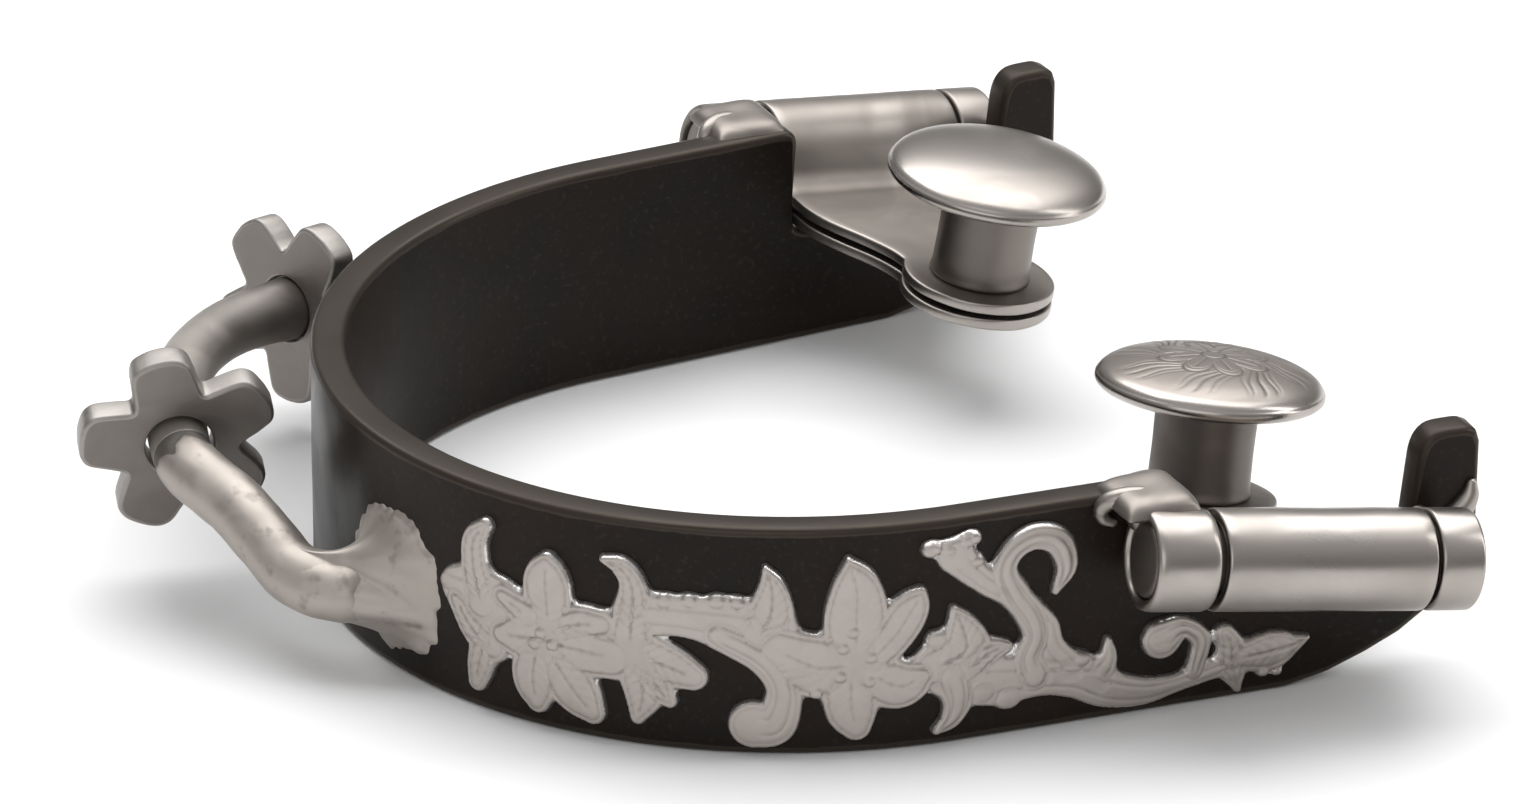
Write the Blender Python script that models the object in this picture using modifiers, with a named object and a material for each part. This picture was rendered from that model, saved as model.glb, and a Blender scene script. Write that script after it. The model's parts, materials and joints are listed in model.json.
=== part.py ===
"""One Western spur with swinging strap buttons, in metres, +Z up.

The heel runs round the origin and the boot's toe points along +X. The origin is on the
heel band's bottom edge, mid thickness, at the middle of the heel. The near side (-Y) is
the outside of the foot and carries the floral overlay; the far side (+Y) is plain.
Every size below is in millimetres and becomes metres where a mesh is made.
"""

import math

import bmesh
import bpy
import numpy as np
from mathutils import Matrix, Vector

MM = 0.001
GAP = 0.3  # left between pieces that touch

# Heel band: half an ellipse round the heel, then two straight arms that flare.
BAND_HEIGHT = 19.0
BAND_THICKNESS = 2.8
HEEL_LENGTH = 36.0  # inner face, heel to the middle of the ellipse
HEEL_HALF_WIDTH = 34.0
ARM_FLARE = 0.064  # sideways per unit of length
ARM_END = 77.3
BAND_EDGE = 0.5  # bevel on every edge of the band
HEEL_CENTRE = BAND_THICKNESS / 2 + HEEL_LENGTH
TAB_TOP = 20.0

# Notch in each arm for its swinging hanger.
NOTCH_REAR = 52.15
NOTCH_REAR_TOP = 52.8
NOTCH_FRONT = 70.75
NOTCH_FRONT_TOP = 72.2
NOTCH_ROUND = 0.6

# Hinge on the outer face of each arm. Along its axis: rear knuckle, barrel, front knuckle.
HINGE_START = (47.05, 41.85, 15.38)
HINGE_YAW = math.radians(5.55)
HINGE_PITCH = math.radians(8.17)
BARREL_RADIUS = 3.96
STRIP = 0.9
PIN_RADIUS = BARREL_RADIUS - STRIP - GAP
REAR_KNUCKLE = (0.0, 5.2)
BARREL = (5.7, 22.95)
FRONT_KNUCKLE = (23.3, 26.9)
PIN = (0.5, 26.6)
REST_TILT = {"near": math.radians(7.3), "far": math.radians(3.2)}

# Hanger: one strip folded round the pin, its two leaves riveted together by the button.
LEAF_SPACE = 0.46
PAD_CENTRE = (14.1, 23.0)  # along the axis, out from the axis
PAD_RADIUS = 6.3
SHOULDER_END = 8.0
NECK_HALF_WIDTH = 5.0

# Button: post and domed cap.
POST_RADIUS = 4.05
POST_TOP = 6.0
TENON_RADIUS = 2.0
TAIL_RADIUS = 3.3
TAIL_DEPTH = 0.8
CAP_RADIUS = 9.1
CAP_RIM = 6.9
CAP_UNDERSIDE = 6.3
CAP_TOP = 9.5

# Bumper bar: a round bar that arches out behind the heel and carries both rowels.
BAR_RADIUS = 2.38
NEAR_LEG_WAY = [(-2.6, -7.7, 7.0), (-4.3, -6.6, 6.7), (-6.6, -3.9, 7.1), (-7.8, -0.3, 8.7),
                (-8.9, 3.6, 10.3), (-10.8, 8.2, 11.8)]
NEAR_ROWEL_AT = (-10.25, 12.5, 12.5)
MIDDLE_WAY = [(-8.8, 16.6, 13.1), (-6.4, 21.9, 13.0), (-2.9, 27.5, 12.3), (2.0, 32.6, 11.4)]
FAR_ROWEL_AT = (8.6, 35.95, 10.6)
FAR_LEG_WAY = [(12.6, 37.3, 10.3), (16.0, 38.2, 9.7), (19.4, 38.8, 8.8), (22.7, 38.9, 7.6),
               (25.4, 38.3, 7.2), (26.9, 37.3, 7.1)]
LEG_JOIN = 2.6  # from a rowel's middle to the joint between the middle bar and a leg

# Flared feet, brazed to the band.
FOOT_WIDTH = 10.8
FOOT_TALL = 12.4
FOOT_NECK = 6.8
FOOT_REACH = 3.0  # from the leg's end to the foot's neck
FOOT_LENGTH = 8.0
FOOT_AIM = 20  # steps of the bar's line that give the leg's direction

# Rowels: five blunt lobes.
ROWEL_RADIUS = 7.95
ROWEL_VALLEY = 4.9
ROWEL_THICKNESS = 2.4
LOBES = 5
ROWEL_TURN = {"near": math.radians(6), "far": math.radians(45)}  # how each hangs at rest

# Overlay plate.
OVERLAY_THICKNESS = 0.65
OVERLAY_CUT = 4.0  # the flat plate is divided this often before it is bent round the band

# The overlay's leaves, petals and scrolls. Each is a tapered stroke: points of distance
# along the band from the heel, height above its bottom edge, and half width.
OVERLAY_STROKES = {
    "end_leaf_curl": [(18.9, 16.0, 0.7), (17.9, 14.4, 1.2), (18.0, 12.0, 1.4), (18.6, 9.5, 1.8)],
    "end_leaf_heart": [(15.4, 10.2, 1.0), (16.7, 10.0, 2.0), (19.5, 9.4, 2.8)],
    "end_leaf_flank": [(16.2, 9.0, 1.0), (17.8, 7.0, 1.4), (19.6, 6.0, 1.4)],
    "end_leaf_drop": [(18.1, 2.6, 0.9), (18.4, 4.2, 1.3), (18.9, 6.5, 1.2)],
    "flower_one_top": [(24.4, 14.4, 0.9), (24.4, 12.4, 2.1), (24.6, 9.5, 1.6)],
    "flower_one_left": [(20.7, 10.6, 1.1), (22.8, 9.6, 1.5)],
    "flower_one_right": [(28.8, 10.1, 1.3), (27.0, 9.8, 1.6), (24.8, 8.6, 1.4)],
    "flower_one_heart": [(20.6, 7.4, 1.3), (24.0, 7.8, 2.6), (29.6, 7.5, 2.0)],
    "flower_one_low_left": [(23.6, 2.5, 1.1), (23.3, 4.4, 2.0), (23.6, 7.0, 1.6)],
    "flower_one_low_right": [(28.2, 2.5, 1.1), (26.6, 4.3, 2.1), (24.8, 6.8, 1.6)],
    "horn_leaf": [(29.0, 15.6, 0.35), (30.5, 15.1, 0.9), (31.4, 13.4, 1.2), (31.2, 9.0, 1.8)],
    "fan_leaf_right": [(36.0, 6.6, 1.25), (34.2, 7.3, 1.8), (31.5, 8.0, 2.2)],
    "fan_leaf_low": [(31.8, 2.7, 0.7), (32.2, 4.8, 1.6), (31.6, 7.4, 1.7)],
    "stem_one": [(31.5, 11.4, 1.7), (35.0, 11.5, 1.7), (38.5, 11.2, 2.1), (41.5, 10.6, 2.4)],
    "thorn_leaf": [(41.4, 16.0, 0.3), (41.9, 14.4, 1.1), (41.8, 12.2, 1.8), (41.0, 10.4, 1.8)],
    "hook_scroll": [(38.0, 10.3, 1.3), (41.4, 8.4, 1.5), (42.8, 5.8, 1.4), (42.2, 3.0, 1.8),
                    (40.6, 2.8, 2.0)],
    "flower_two_left": [(42.5, 9.2, 1.9), (45.2, 7.8, 2.7), (47.5, 7.8, 2.5)],
    "flower_two_top": [(47.6, 16.6, 0.35), (48.2, 14.2, 1.9), (48.2, 11.6, 2.5), (48.2, 9.0, 2.2)],
    "flower_two_up_right": [(53.1, 13.4, 0.6), (52.3, 12.0, 1.6), (51.2, 10.2, 1.7), (49.4, 8.2, 1.6)],
    "flower_two_low": [(48.3, 2.6, 1.3), (47.9, 4.2, 2.1), (47.9, 6.8, 2.2)],
    "flower_two_right": [(53.2, 6.4, 1.2), (51.5, 5.8, 2.1), (49.3, 7.0, 1.9)],
    "cluster_up": [(55.8, 11.6, 0.4), (56.5, 9.8, 1.4), (56.6, 8.0, 2.1), (54.4, 7.0, 1.9)],
    "cluster_right": [(60.0, 7.8, 0.6), (58.8, 7.6, 1.1), (56.8, 6.4, 1.6)],
    "cluster_hook": [(54.5, 1.5, 0.4), (55.7, 2.4, 0.9), (56.2, 4.0, 1.3), (55.8, 6.0, 1.6)],
    "stem_two": [(55.5, 6.0, 1.8), (59.0, 5.0, 2.1), (63.0, 4.6, 1.6), (66.0, 4.1, 1.8),
                 (68.5, 2.7, 1.6), (71.5, 2.0, 1.2), (74.5, 2.3, 0.8), (79.0, 3.2, 0.8)],
    "trumpet": [(63.8, 4.6, 1.4), (64.2, 6.8, 1.5), (63.2, 9.3, 1.2), (61.0, 11.6, 1.1),
                (58.4, 13.5, 1.1), (55.6, 16.1, 1.6)],
    "trumpet_curl": [(58.6, 14.2, 0.9), (60.4, 15.6, 1.0), (62.3, 16.6, 1.1), (64.2, 15.9, 1.2),
                     (64.9, 13.8, 0.95), (64.0, 11.8, 0.35)],
    "vine_leaf": [(68.5, 6.9, 0.35), (68.5, 5.4, 0.8), (67.6, 3.8, 1.4)],
    "ball_scroll": [(72.9, 6.2, 1.7), (74.6, 7.0, 1.0), (76.1, 5.6, 0.9), (75.6, 3.0, 0.7)],
    "bud": [(78.1, 6.0, 0.8), (78.6, 4.8, 1.1), (78.8, 3.0, 1.2), (79.3, 0.95, 0.35)],
    "tip_leaf": [(79.4, 3.6, 1.2), (82.0, 3.8, 1.7), (83.6, 4.0, 1.0), (85.0, 4.45, 0.3)],
}

MATERIALS = {
    "brown_steel": ((0.028, 0.021, 0.017, 1), 0.38, 0.75),
    "nickel_silver": ((0.56, 0.52, 0.49, 1), 0.34, 1.0),
    "polished_steel": ((0.72, 0.69, 0.66, 1), 0.16, 1.0),
    "grey_steel": ((0.22, 0.20, 0.185, 1), 0.5, 0.9),
}


# Scene helpers.

def clear_scene():
    for item in list(bpy.data.objects):
        bpy.data.objects.remove(item, do_unlink=True)


def collection(name):
    made = bpy.data.collections.new(name)
    bpy.context.scene.collection.children.link(made)
    return made


def finish(name):
    """A Principled material with the colour, roughness and metallic value of one finish."""
    colour, roughness, metallic = MATERIALS[name]
    made = bpy.data.materials.new(name)
    made.use_nodes = True
    shader = made.node_tree.nodes["Principled BSDF"]
    shader.inputs["Base Color"].default_value = colour
    shader.inputs["Roughness"].default_value = roughness
    shader.inputs["Metallic"].default_value = metallic
    made.diffuse_color = colour
    return made


def smooth(item):
    item.data.shade_smooth()
    item.data.set_sharp_from_angle(angle=math.radians(35))


def add(name, mesh, place=None, look=None, group=None, parent=None):
    """An object for a mesh, placed by a matrix in millimetres or under a parent empty."""
    item = bpy.data.objects.new(name, mesh)
    (group or spur).objects.link(item)
    if look:
        mesh.materials.append(finish(look))
    if parent:
        item.parent = parent
    if place:
        item.matrix_local = in_metres(place)
    smooth(item)
    return item


def in_metres(place):
    moved = place.copy()
    moved.translation = place.translation * MM
    return moved


def hide_cutter(item):
    item.hide_render = True
    item.display_type = "WIRE"


def boolean(item, cutter, operation="DIFFERENCE"):
    hide_cutter(cutter)
    step = item.modifiers.new(operation.lower(), "BOOLEAN")
    step.operation = operation
    step.object = cutter


def bevel(item, width, segments=2):
    step = item.modifiers.new("rounded edges", "BEVEL")
    step.width = width * MM
    step.segments = segments
    step.limit_method = "ANGLE"
    step.angle_limit = math.radians(38)


# Mesh helpers.

def tidy_mesh(mesh, merge_flat=True):
    """Caps welded to sides, flat triangles merged, and faces turned outwards."""
    bm = bmesh.new()
    bm.from_mesh(mesh)
    bmesh.ops.remove_doubles(bm, verts=bm.verts, dist=1e-6)
    if merge_flat:
        bmesh.ops.dissolve_limit(bm, angle_limit=math.radians(0.5), verts=bm.verts, edges=bm.edges)
    bmesh.ops.recalc_face_normals(bm, faces=bm.faces)
    bm.to_mesh(mesh)
    bm.free()


def mesh_of(item):
    """The mesh that an object's modifiers or curve settings make."""
    bpy.context.view_layer.update()
    depsgraph = bpy.context.evaluated_depsgraph_get()
    return bpy.data.meshes.new_from_object(item.evaluated_get(depsgraph))


def plate(name, outlines, low, high):
    """A flat plate: closed 2D outlines, filled and extruded, from one height to another."""
    curve = bpy.data.curves.new(name, "CURVE")
    curve.dimensions = "2D"
    curve.fill_mode = "BOTH"
    curve.extrude = (high - low) / 2 * MM
    for outline in outlines:
        spline = curve.splines.new("POLY")
        spline.points.add(len(outline) - 1)
        for point, (x, y) in zip(spline.points, outline):
            point.co = (x * MM, y * MM, 0, 1)
        spline.use_cyclic_u = True
    guide = bpy.data.objects.new(name, curve)
    bpy.context.scene.collection.objects.link(guide)
    mesh = mesh_of(guide)
    bpy.data.objects.remove(guide)
    mesh.transform(Matrix.Translation((0, 0, (high + low) / 2 * MM)))
    tidy_mesh(mesh)
    return mesh


def round_bar(name, points, radius, sides_level=3):
    """A round bar along points: a bevelled curve made a mesh, its caps welded."""
    curve = bpy.data.curves.new(name, "CURVE")
    curve.dimensions = "3D"
    curve.bevel_depth = radius * MM
    curve.bevel_resolution = sides_level
    curve.use_fill_caps = True
    spline = curve.splines.new("POLY")
    spline.points.add(len(points) - 1)
    for point, place in zip(spline.points, points):
        point.co = (*(Vector(place) * MM), 1)
    guide = bpy.data.objects.new(name, curve)
    bpy.context.scene.collection.objects.link(guide)
    mesh = mesh_of(guide)
    bpy.data.objects.remove(guide)
    tidy_mesh(mesh, merge_flat=False)
    return mesh


def turned(name, profile, place, look=None, group=None, parent=None, steps=24, closed=False):
    """A turned piece: a profile of radius and height, screwed round its own Z axis."""
    mesh = bpy.data.meshes.new(name)
    corners = [(radius * MM, 0, height * MM) for radius, height in profile]
    edges = [(i, i + 1) for i in range(len(corners) - 1)]
    if closed:
        edges.append((len(corners) - 1, 0))
    mesh.from_pydata(corners, edges, [])
    item = add(name, mesh, place, look, group, parent)
    step = item.modifiers.new("turned", "SCREW")
    step.steps = step.render_steps = steps
    step.use_merge_vertices = True
    step.merge_threshold = 1e-6
    step.use_smooth_shade = True
    return item


def ring_profile(inner, outer, low, high):
    """Down the outer side, then up the bore."""
    return [(outer, high), (outer, low), (inner, low), (inner, high)]


def smooth_way(points, spacing):
    """Points at an even spacing along a Catmull-Rom curve through the given points."""
    p = np.array(points, float)
    p = np.vstack([2 * p[0] - p[1], p, 2 * p[-1] - p[-2]])
    t = np.linspace(0, 1, 24, endpoint=False)[:, None]
    pieces = []
    for a, b, c, d in zip(p[:-3], p[1:-2], p[2:-1], p[3:]):
        pieces.append(0.5 * (2 * b + (c - a) * t + (2 * a - 5 * b + 4 * c - d) * t ** 2
                             + (3 * b - a - 3 * c + d) * t ** 3))
    fine = np.vstack(pieces + [p[-2]])
    run = np.concatenate([[0], np.cumsum(np.linalg.norm(np.diff(fine, axis=0), axis=1))])
    even = np.linspace(0, run[-1], max(2, round(run[-1] / spacing) + 1))
    return np.stack([np.interp(even, run, fine[:, k]) for k in range(3)], axis=1)


# The heel band.

def band_line(offset, step_degrees=5.0):
    """Half of the band's plan, heel to arm end, at a distance outside its inner face."""
    last = math.atan(HEEL_HALF_WIDTH / (HEEL_LENGTH * ARM_FLARE))
    turn = np.linspace(0, last, round(math.degrees(last) / step_degrees) + 1)
    x = HEEL_CENTRE - HEEL_LENGTH * np.cos(turn)
    y = HEEL_HALF_WIDTH * np.sin(turn)
    along = np.stack([HEEL_LENGTH * np.sin(turn), HEEL_HALF_WIDTH * np.cos(turn)], axis=1)
    along /= np.linalg.norm(along, axis=1)[:, None]
    line = np.stack([x - along[:, 1] * offset, y + along[:, 0] * offset], axis=1)
    reach = (ARM_END + 4 - line[-1, 0]) / along[-1, 0]
    return np.vstack([line, line[-1] + along[-1] * reach])


def both_sides(half):
    """A half plan and its mirror image, joined at the heel, from the near end to the far."""
    return np.vstack([half[:0:-1] * (1, -1), half])


def side_outline():
    """The band seen from the side, without its notches: X and height."""
    return [(-10, 0), (61.5, 0), (65.0, 0.7), (68.2, 1.9), (71.0, 3.2), (73.4, 4.9), (75.3, 7.2),
            (ARM_END - 0.6, 9.8), (ARM_END, 12.2), (ARM_END, TAB_TOP - 1.3),
            (ARM_END - 0.4, TAB_TOP - 0.4), (ARM_END - 1.3, TAB_TOP), (60, TAB_TOP),
            (60, BAND_HEIGHT), (-10, BAND_HEIGHT)]


def upright(outline_mesh):
    """A flat outline in X and Y turned to stand in X and Z, centred on Y = 0."""
    outline_mesh.transform(Matrix.Rotation(math.pi / 2, 4, "X"))
    return outline_mesh


def notch_outline(side):
    """The notch, its floor just under the hanger's lower leaf: X and height."""
    inner_face = 8.2
    floor = [hinge_place(side) @ Vector((inner_face, -handed(side) * BARREL_RADIUS, s))
             for s in (BARREL[0], BARREL[1])]
    rear, front = floor[0].z - GAP, floor[1].z - GAP
    slope = (front - rear) / (floor[1].x - floor[0].x)
    rounding = [(NOTCH_REAR + NOTCH_ROUND * (1 - math.cos(a)),
                 rear - 0.1 + NOTCH_ROUND * (1 - math.sin(a)) + slope * NOTCH_ROUND)
                for a in (0, math.pi / 4, math.pi / 2)]
    return [(NOTCH_REAR_TOP, 24.0), (NOTCH_REAR_TOP, BAND_HEIGHT - 1), *rounding,
            (NOTCH_FRONT, front), (NOTCH_FRONT + 0.1, front + 1.0), (NOTCH_FRONT_TOP, TAB_TOP - 1.4),
            (NOTCH_FRONT_TOP + 1.2, TAB_TOP + 0.2), (NOTCH_FRONT_TOP + 1.4, 24.0)]


def make_band():
    outer = both_sides(band_line(BAND_THICKNESS))
    inner = both_sides(band_line(0))
    ring = np.vstack([outer, inner[::-1]])
    band = add("heel_band", plate("heel_band", [ring], -2, TAB_TOP + 2), look="brown_steel")
    profile = upright(plate("band_profile", [side_outline()], -60, 60))
    boolean(band, add("band_profile", profile, group=cutters), "INTERSECT")
    for side in ("near", "far"):
        name = f"{side}_notch"
        notch = upright(plate(name, [notch_outline(side)], -12, 12))
        notch.transform(Matrix.Translation((0, outward(side) * 40 * MM, 0)))
        boolean(band, add(name, notch, group=cutters))
    bevel(band, BAND_EDGE)


# The hinge, hanger and button on each side.

def outward(side):
    return -1 if side == "near" else 1


def handed(side):
    """Plus one where the button's side of a hanger is along local +Y, minus one where -Y."""
    return 1 if side == "near" else -1


def hinge_place(side, tilted=True):
    """Local X out along the hanger, local Z along the pin, origin at the rear knuckle."""
    out = outward(side)
    x, y, z = HINGE_START
    pin = Vector((math.cos(HINGE_PITCH) * math.cos(HINGE_YAW),
                  out * math.cos(HINGE_PITCH) * math.sin(HINGE_YAW), -math.sin(HINGE_PITCH)))
    level = Vector((0, 0, 1)).cross(pin).normalized() * -out
    above = (Vector((0, 0, 1)) - pin * pin.z).normalized()
    tilt = REST_TILT[side] if tilted else 0
    reach = level * math.cos(tilt) - above * math.sin(tilt)
    place = Matrix((reach, pin.cross(reach), pin)).transposed().to_4x4()
    place.translation = (x, out * y, z)
    return place


def hanger_strip():
    """Cross-section of the folded strip, across the pin: lower leaf, barrel, upper leaf."""
    middle = BARREL_RADIUS - STRIP / 2
    upper = -middle + STRIP + LEAF_SPACE
    end = PAD_CENTRE[1] + PAD_RADIUS + 2
    top_turn, bend = math.radians(15), 2.5
    path = [(end, -middle), (0.6 * end, -middle), (0.3 * end, -middle)]
    for a in np.linspace(-math.pi / 2, top_turn - 2 * math.pi, 19):
        path.append((middle * math.cos(a), middle * math.sin(a)))
    fall = middle * math.sin(top_turn) - upper - bend * (1 - math.sin(top_turn))
    start = middle * math.cos(top_turn) + fall * math.tan(top_turn)
    for a in np.linspace(top_turn, math.pi / 2, 5):
        path.append((start + bend * (math.cos(top_turn) - math.cos(a)),
                     upper + bend * (1 - math.sin(a))))
    path.append((end, upper))
    path = np.array(path)
    along = np.gradient(path, axis=0)
    along /= np.linalg.norm(along, axis=1)[:, None]
    side = np.stack([-along[:, 1], along[:, 0]], axis=1) * STRIP / 2
    side[:3], side[-1] = (0, -STRIP / 2), (0, STRIP / 2)
    return np.vstack([path + side, (path - side)[::-1]])


def hanger_plan():
    """The hanger from above: wide over the barrel, drawn in to a round pad. Out, along."""
    middle = PAD_CENTRE[0]
    neck_end = PAD_CENTRE[1] - math.sqrt(PAD_RADIUS ** 2 - NECK_HALF_WIDTH ** 2)
    sides = []
    for side in (-1, 1):
        wide = abs(BARREL[0 if side < 0 else 1] - middle)
        edge = [(-BARREL_RADIUS - 2, middle + side * wide)]
        for t in np.linspace(0, 1, 7):
            draw = 0.5 - 0.5 * math.cos(math.pi * t)
            edge.append((SHOULDER_END + (neck_end - SHOULDER_END) * t,
                         middle + side * (wide + (NECK_HALF_WIDTH - wide) * draw)))
        sides.append(edge)
    open_angle = math.pi - math.asin(NECK_HALF_WIDTH / PAD_RADIUS)
    pad = [(PAD_CENTRE[1] + PAD_RADIUS * math.cos(a), middle + PAD_RADIUS * math.sin(a))
           for a in np.linspace(-open_angle, open_angle, 21)[1:-1]]
    return sides[0] + pad + sides[1][::-1]


def make_hanger(side):
    hand = handed(side)
    pivot = bpy.data.objects.new(f"{side}_hanger_pivot", None)
    spur.objects.link(pivot)
    pivot.matrix_world = in_metres(hinge_place(side))
    pivot.empty_display_size = 0.01

    strip = plate("strip", [hanger_strip() * (1, hand)], *BARREL)
    hanger = add(f"{side}_hanger", strip, Matrix(), "polished_steel", parent=pivot)
    plan = plate("plan", [hanger_plan()], -12, 12)
    plan.transform(Matrix.Rotation(math.pi / 2, 4, "X"))
    plan_cutter = add(f"{side}_hanger_plan", plan, Matrix(), group=cutters, parent=pivot)
    boolean(hanger, plan_cutter, "INTERSECT")

    # The button stands on local +Y on the near side and on local -Y on the far side.
    button = Matrix.Translation((PAD_CENTRE[1], 0, PAD_CENTRE[0])) @ Matrix.Rotation(
        -hand * math.pi / 2, 4, "X")
    hole = TENON_RADIUS + GAP
    hole_cutter = turned(f"{side}_rivet_hole", [(0, 0), (hole, 0), (hole, -8), (0, -8)], button,
                         group=cutters, parent=pivot, steps=20)
    boolean(hanger, hole_cutter)

    seat = -BARREL_RADIUS + 2 * STRIP + LEAF_SPACE + GAP
    under = -BARREL_RADIUS - GAP
    turned(f"{side}_button_post",
           [(0, POST_TOP), (POST_RADIUS, POST_TOP), (POST_RADIUS, seat), (TENON_RADIUS, seat),
            (TENON_RADIUS, under), (TAIL_RADIUS, under), (TAIL_RADIUS - 0.3, under - 0.5),
            (TAIL_RADIUS - 1.3, under - TAIL_DEPTH), (0, under - TAIL_DEPTH)],
           button, "polished_steel", parent=pivot)
    dome = [(CAP_RADIUS * 0.985 * math.sin(a), CAP_RIM + 0.3 + (CAP_TOP - CAP_RIM - 0.3) * math.cos(a))
            for a in np.linspace(0, math.pi / 2, 6)]
    turned(f"{side}_button_cap",
           [(abs(r), h) for r, h in dome] + [(CAP_RADIUS, CAP_RIM), (CAP_RADIUS - 0.5, CAP_UNDERSIDE),
                                             (0, CAP_UNDERSIDE)],
           button, "polished_steel", parent=pivot, steps=32)


def make_hinge(side):
    """Two fixed knuckles and the pin through them."""
    still = hinge_place(side, tilted=False)
    bore = PIN_RADIUS + GAP
    rear = turned(f"{side}_rear_knuckle", ring_profile(bore, BARREL_RADIUS, *REAR_KNUCKLE),
                  still, "polished_steel", closed=True)
    front = turned(f"{side}_front_knuckle", ring_profile(bore, BARREL_RADIUS, *FRONT_KNUCKLE),
                   still, "polished_steel", closed=True)
    turned(f"{side}_hinge_pin",
           [(0, PIN[1]), (PIN_RADIUS - 0.3, PIN[1]), (PIN_RADIUS, PIN[1] - 0.3),
            (PIN_RADIUS, PIN[0] + 0.3), (PIN_RADIUS - 0.3, PIN[0]), (0, PIN[0])],
           still, "polished_steel", steps=20)

    # The rear knuckle is brazed to the band by a saddle over its top edge.
    out = outward(side)
    saddle_outline = [(46.6, 19.25), (51.9, 19.25), (51.9, 19.7), (50.5, 19.95), (47.4, 19.8), (46.6, 19.5)]
    saddle = upright(plate("saddle", [saddle_outline], -3.2, 3.2))
    saddle.transform(Matrix.Translation((0, out * 39.0 * MM, 0)))
    skirt = upright(plate("skirt", [[(47.0, 17.2), (51.6, 16.6), (51.6, 19.6), (47.0, 19.6)]], -1.3, 1.3))
    skirt.transform(Matrix.Translation((0, out * 40.4 * MM, 0)))
    boolean(rear, add(f"{side}_saddle", saddle, group=cutters), "UNION")
    boolean(rear, add(f"{side}_saddle_skirt", skirt, group=cutters), "UNION")
    boolean(rear, pin_clearance(side))

    # The front knuckle has a braze fillet that fills the corner with the tab.
    fillet = upright(plate("fillet", [[(70.9, 8.4), (74.0, 8.0), (74.0, 12.8), (70.9, 13.4)]], -0.9, 0.9))
    fillet.transform(Matrix.Rotation(out * math.atan(ARM_FLARE), 4, "Z"))
    fillet_at = (0.35, out * (40.55 - 72.4 * ARM_FLARE), 0)
    fillet.transform(Matrix.Translation(Vector(fillet_at) * MM))
    boolean(front, add(f"{side}_fillet", fillet, group=cutters), "UNION")
    boolean(front, pin_clearance(side))


def pin_clearance(side):
    """The bore's cutter, shared by both knuckles of a side."""
    name = f"{side}_pin_clearance"
    if name in bpy.data.objects:
        return bpy.data.objects[name]
    bore = PIN_RADIUS + GAP
    return turned(name, [(0, 30), (bore, 30), (bore, -3), (0, -3)],
                  hinge_place(side, tilted=False), group=cutters)


# The bumper bar, its feet and the rowels.

def bar_way():
    """The whole bar's centre line from the near foot to the far foot."""
    return smooth_way(NEAR_LEG_WAY + [NEAR_ROWEL_AT] + MIDDLE_WAY + [FAR_ROWEL_AT] + FAR_LEG_WAY, 0.1)


def nearest(way, place):
    return int(np.argmin(np.linalg.norm(way - np.array(place), axis=1)))


def rowel_place(way, at, turned_by=0):
    """Local Z along the bar where a rowel hangs, turned by its angle at rest."""
    k = nearest(way, at)
    along = Vector(way[k + 5] - way[k - 5]).normalized()
    turn = along.to_track_quat("Z", "Y").to_matrix().to_4x4() @ Matrix.Rotation(turned_by, 4, "Z")
    turn.translation = Vector(way[k])
    return turn


def rowel_outline():
    """Five blunt lobes with round corners and V-shaped valleys between them."""
    lobe = [(36, ROWEL_VALLEY), (26, 5.9), (20.5, 6.9), (15, 7.6), (7, ROWEL_RADIUS)]
    points = []
    for k in range(LOBES):
        middle = 360 / LOBES * k
        half = [(middle - a, r) for a, r in lobe] + [(middle + a, r) for a, r in lobe[:0:-1]]
        points += [(r * math.cos(math.radians(a)), r * math.sin(math.radians(a))) for a, r in half]
    return points


def make_rowels(way):
    hole = BAR_RADIUS + GAP
    circle = [(hole * math.cos(a), hole * math.sin(a))
              for a in np.linspace(0, 2 * math.pi, 24, endpoint=False)]
    half = ROWEL_THICKNESS / 2
    for side, at in (("near", NEAR_ROWEL_AT), ("far", FAR_ROWEL_AT)):
        mesh = plate(f"{side}_rowel", [rowel_outline(), circle[::-1]], -half, half)
        rowel = add(f"{side}_rowel", mesh, rowel_place(way, at, ROWEL_TURN[side]), "grey_steel")
        bevel(rowel, 0.25, 1)


def thin(way, every=20):
    """Every so many points of a fine line, always with its last."""
    picked = list(way[:-1:every])
    if np.linalg.norm(picked[-1] - way[-1]) < 1:
        picked.pop()
    return picked + [way[-1]]


def make_bar(way):
    near, far = nearest(way, NEAR_ROWEL_AT), nearest(way, FAR_ROWEL_AT)
    join, gap = round(LEG_JOIN / 0.1), round(GAP / 0.1)
    pieces = {"near_bar_leg": way[:near - join], "bumper_bar": way[near - join + gap:far + join - gap],
              "far_bar_leg": way[far + join:]}
    for name, line in pieces.items():
        look = "grey_steel" if name == "bumper_bar" else "nickel_silver"
        add(name, round_bar(name, thin(line), BAR_RADIUS), look=look)
    make_foot("near", way)
    make_foot("far", way[::-1])


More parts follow.
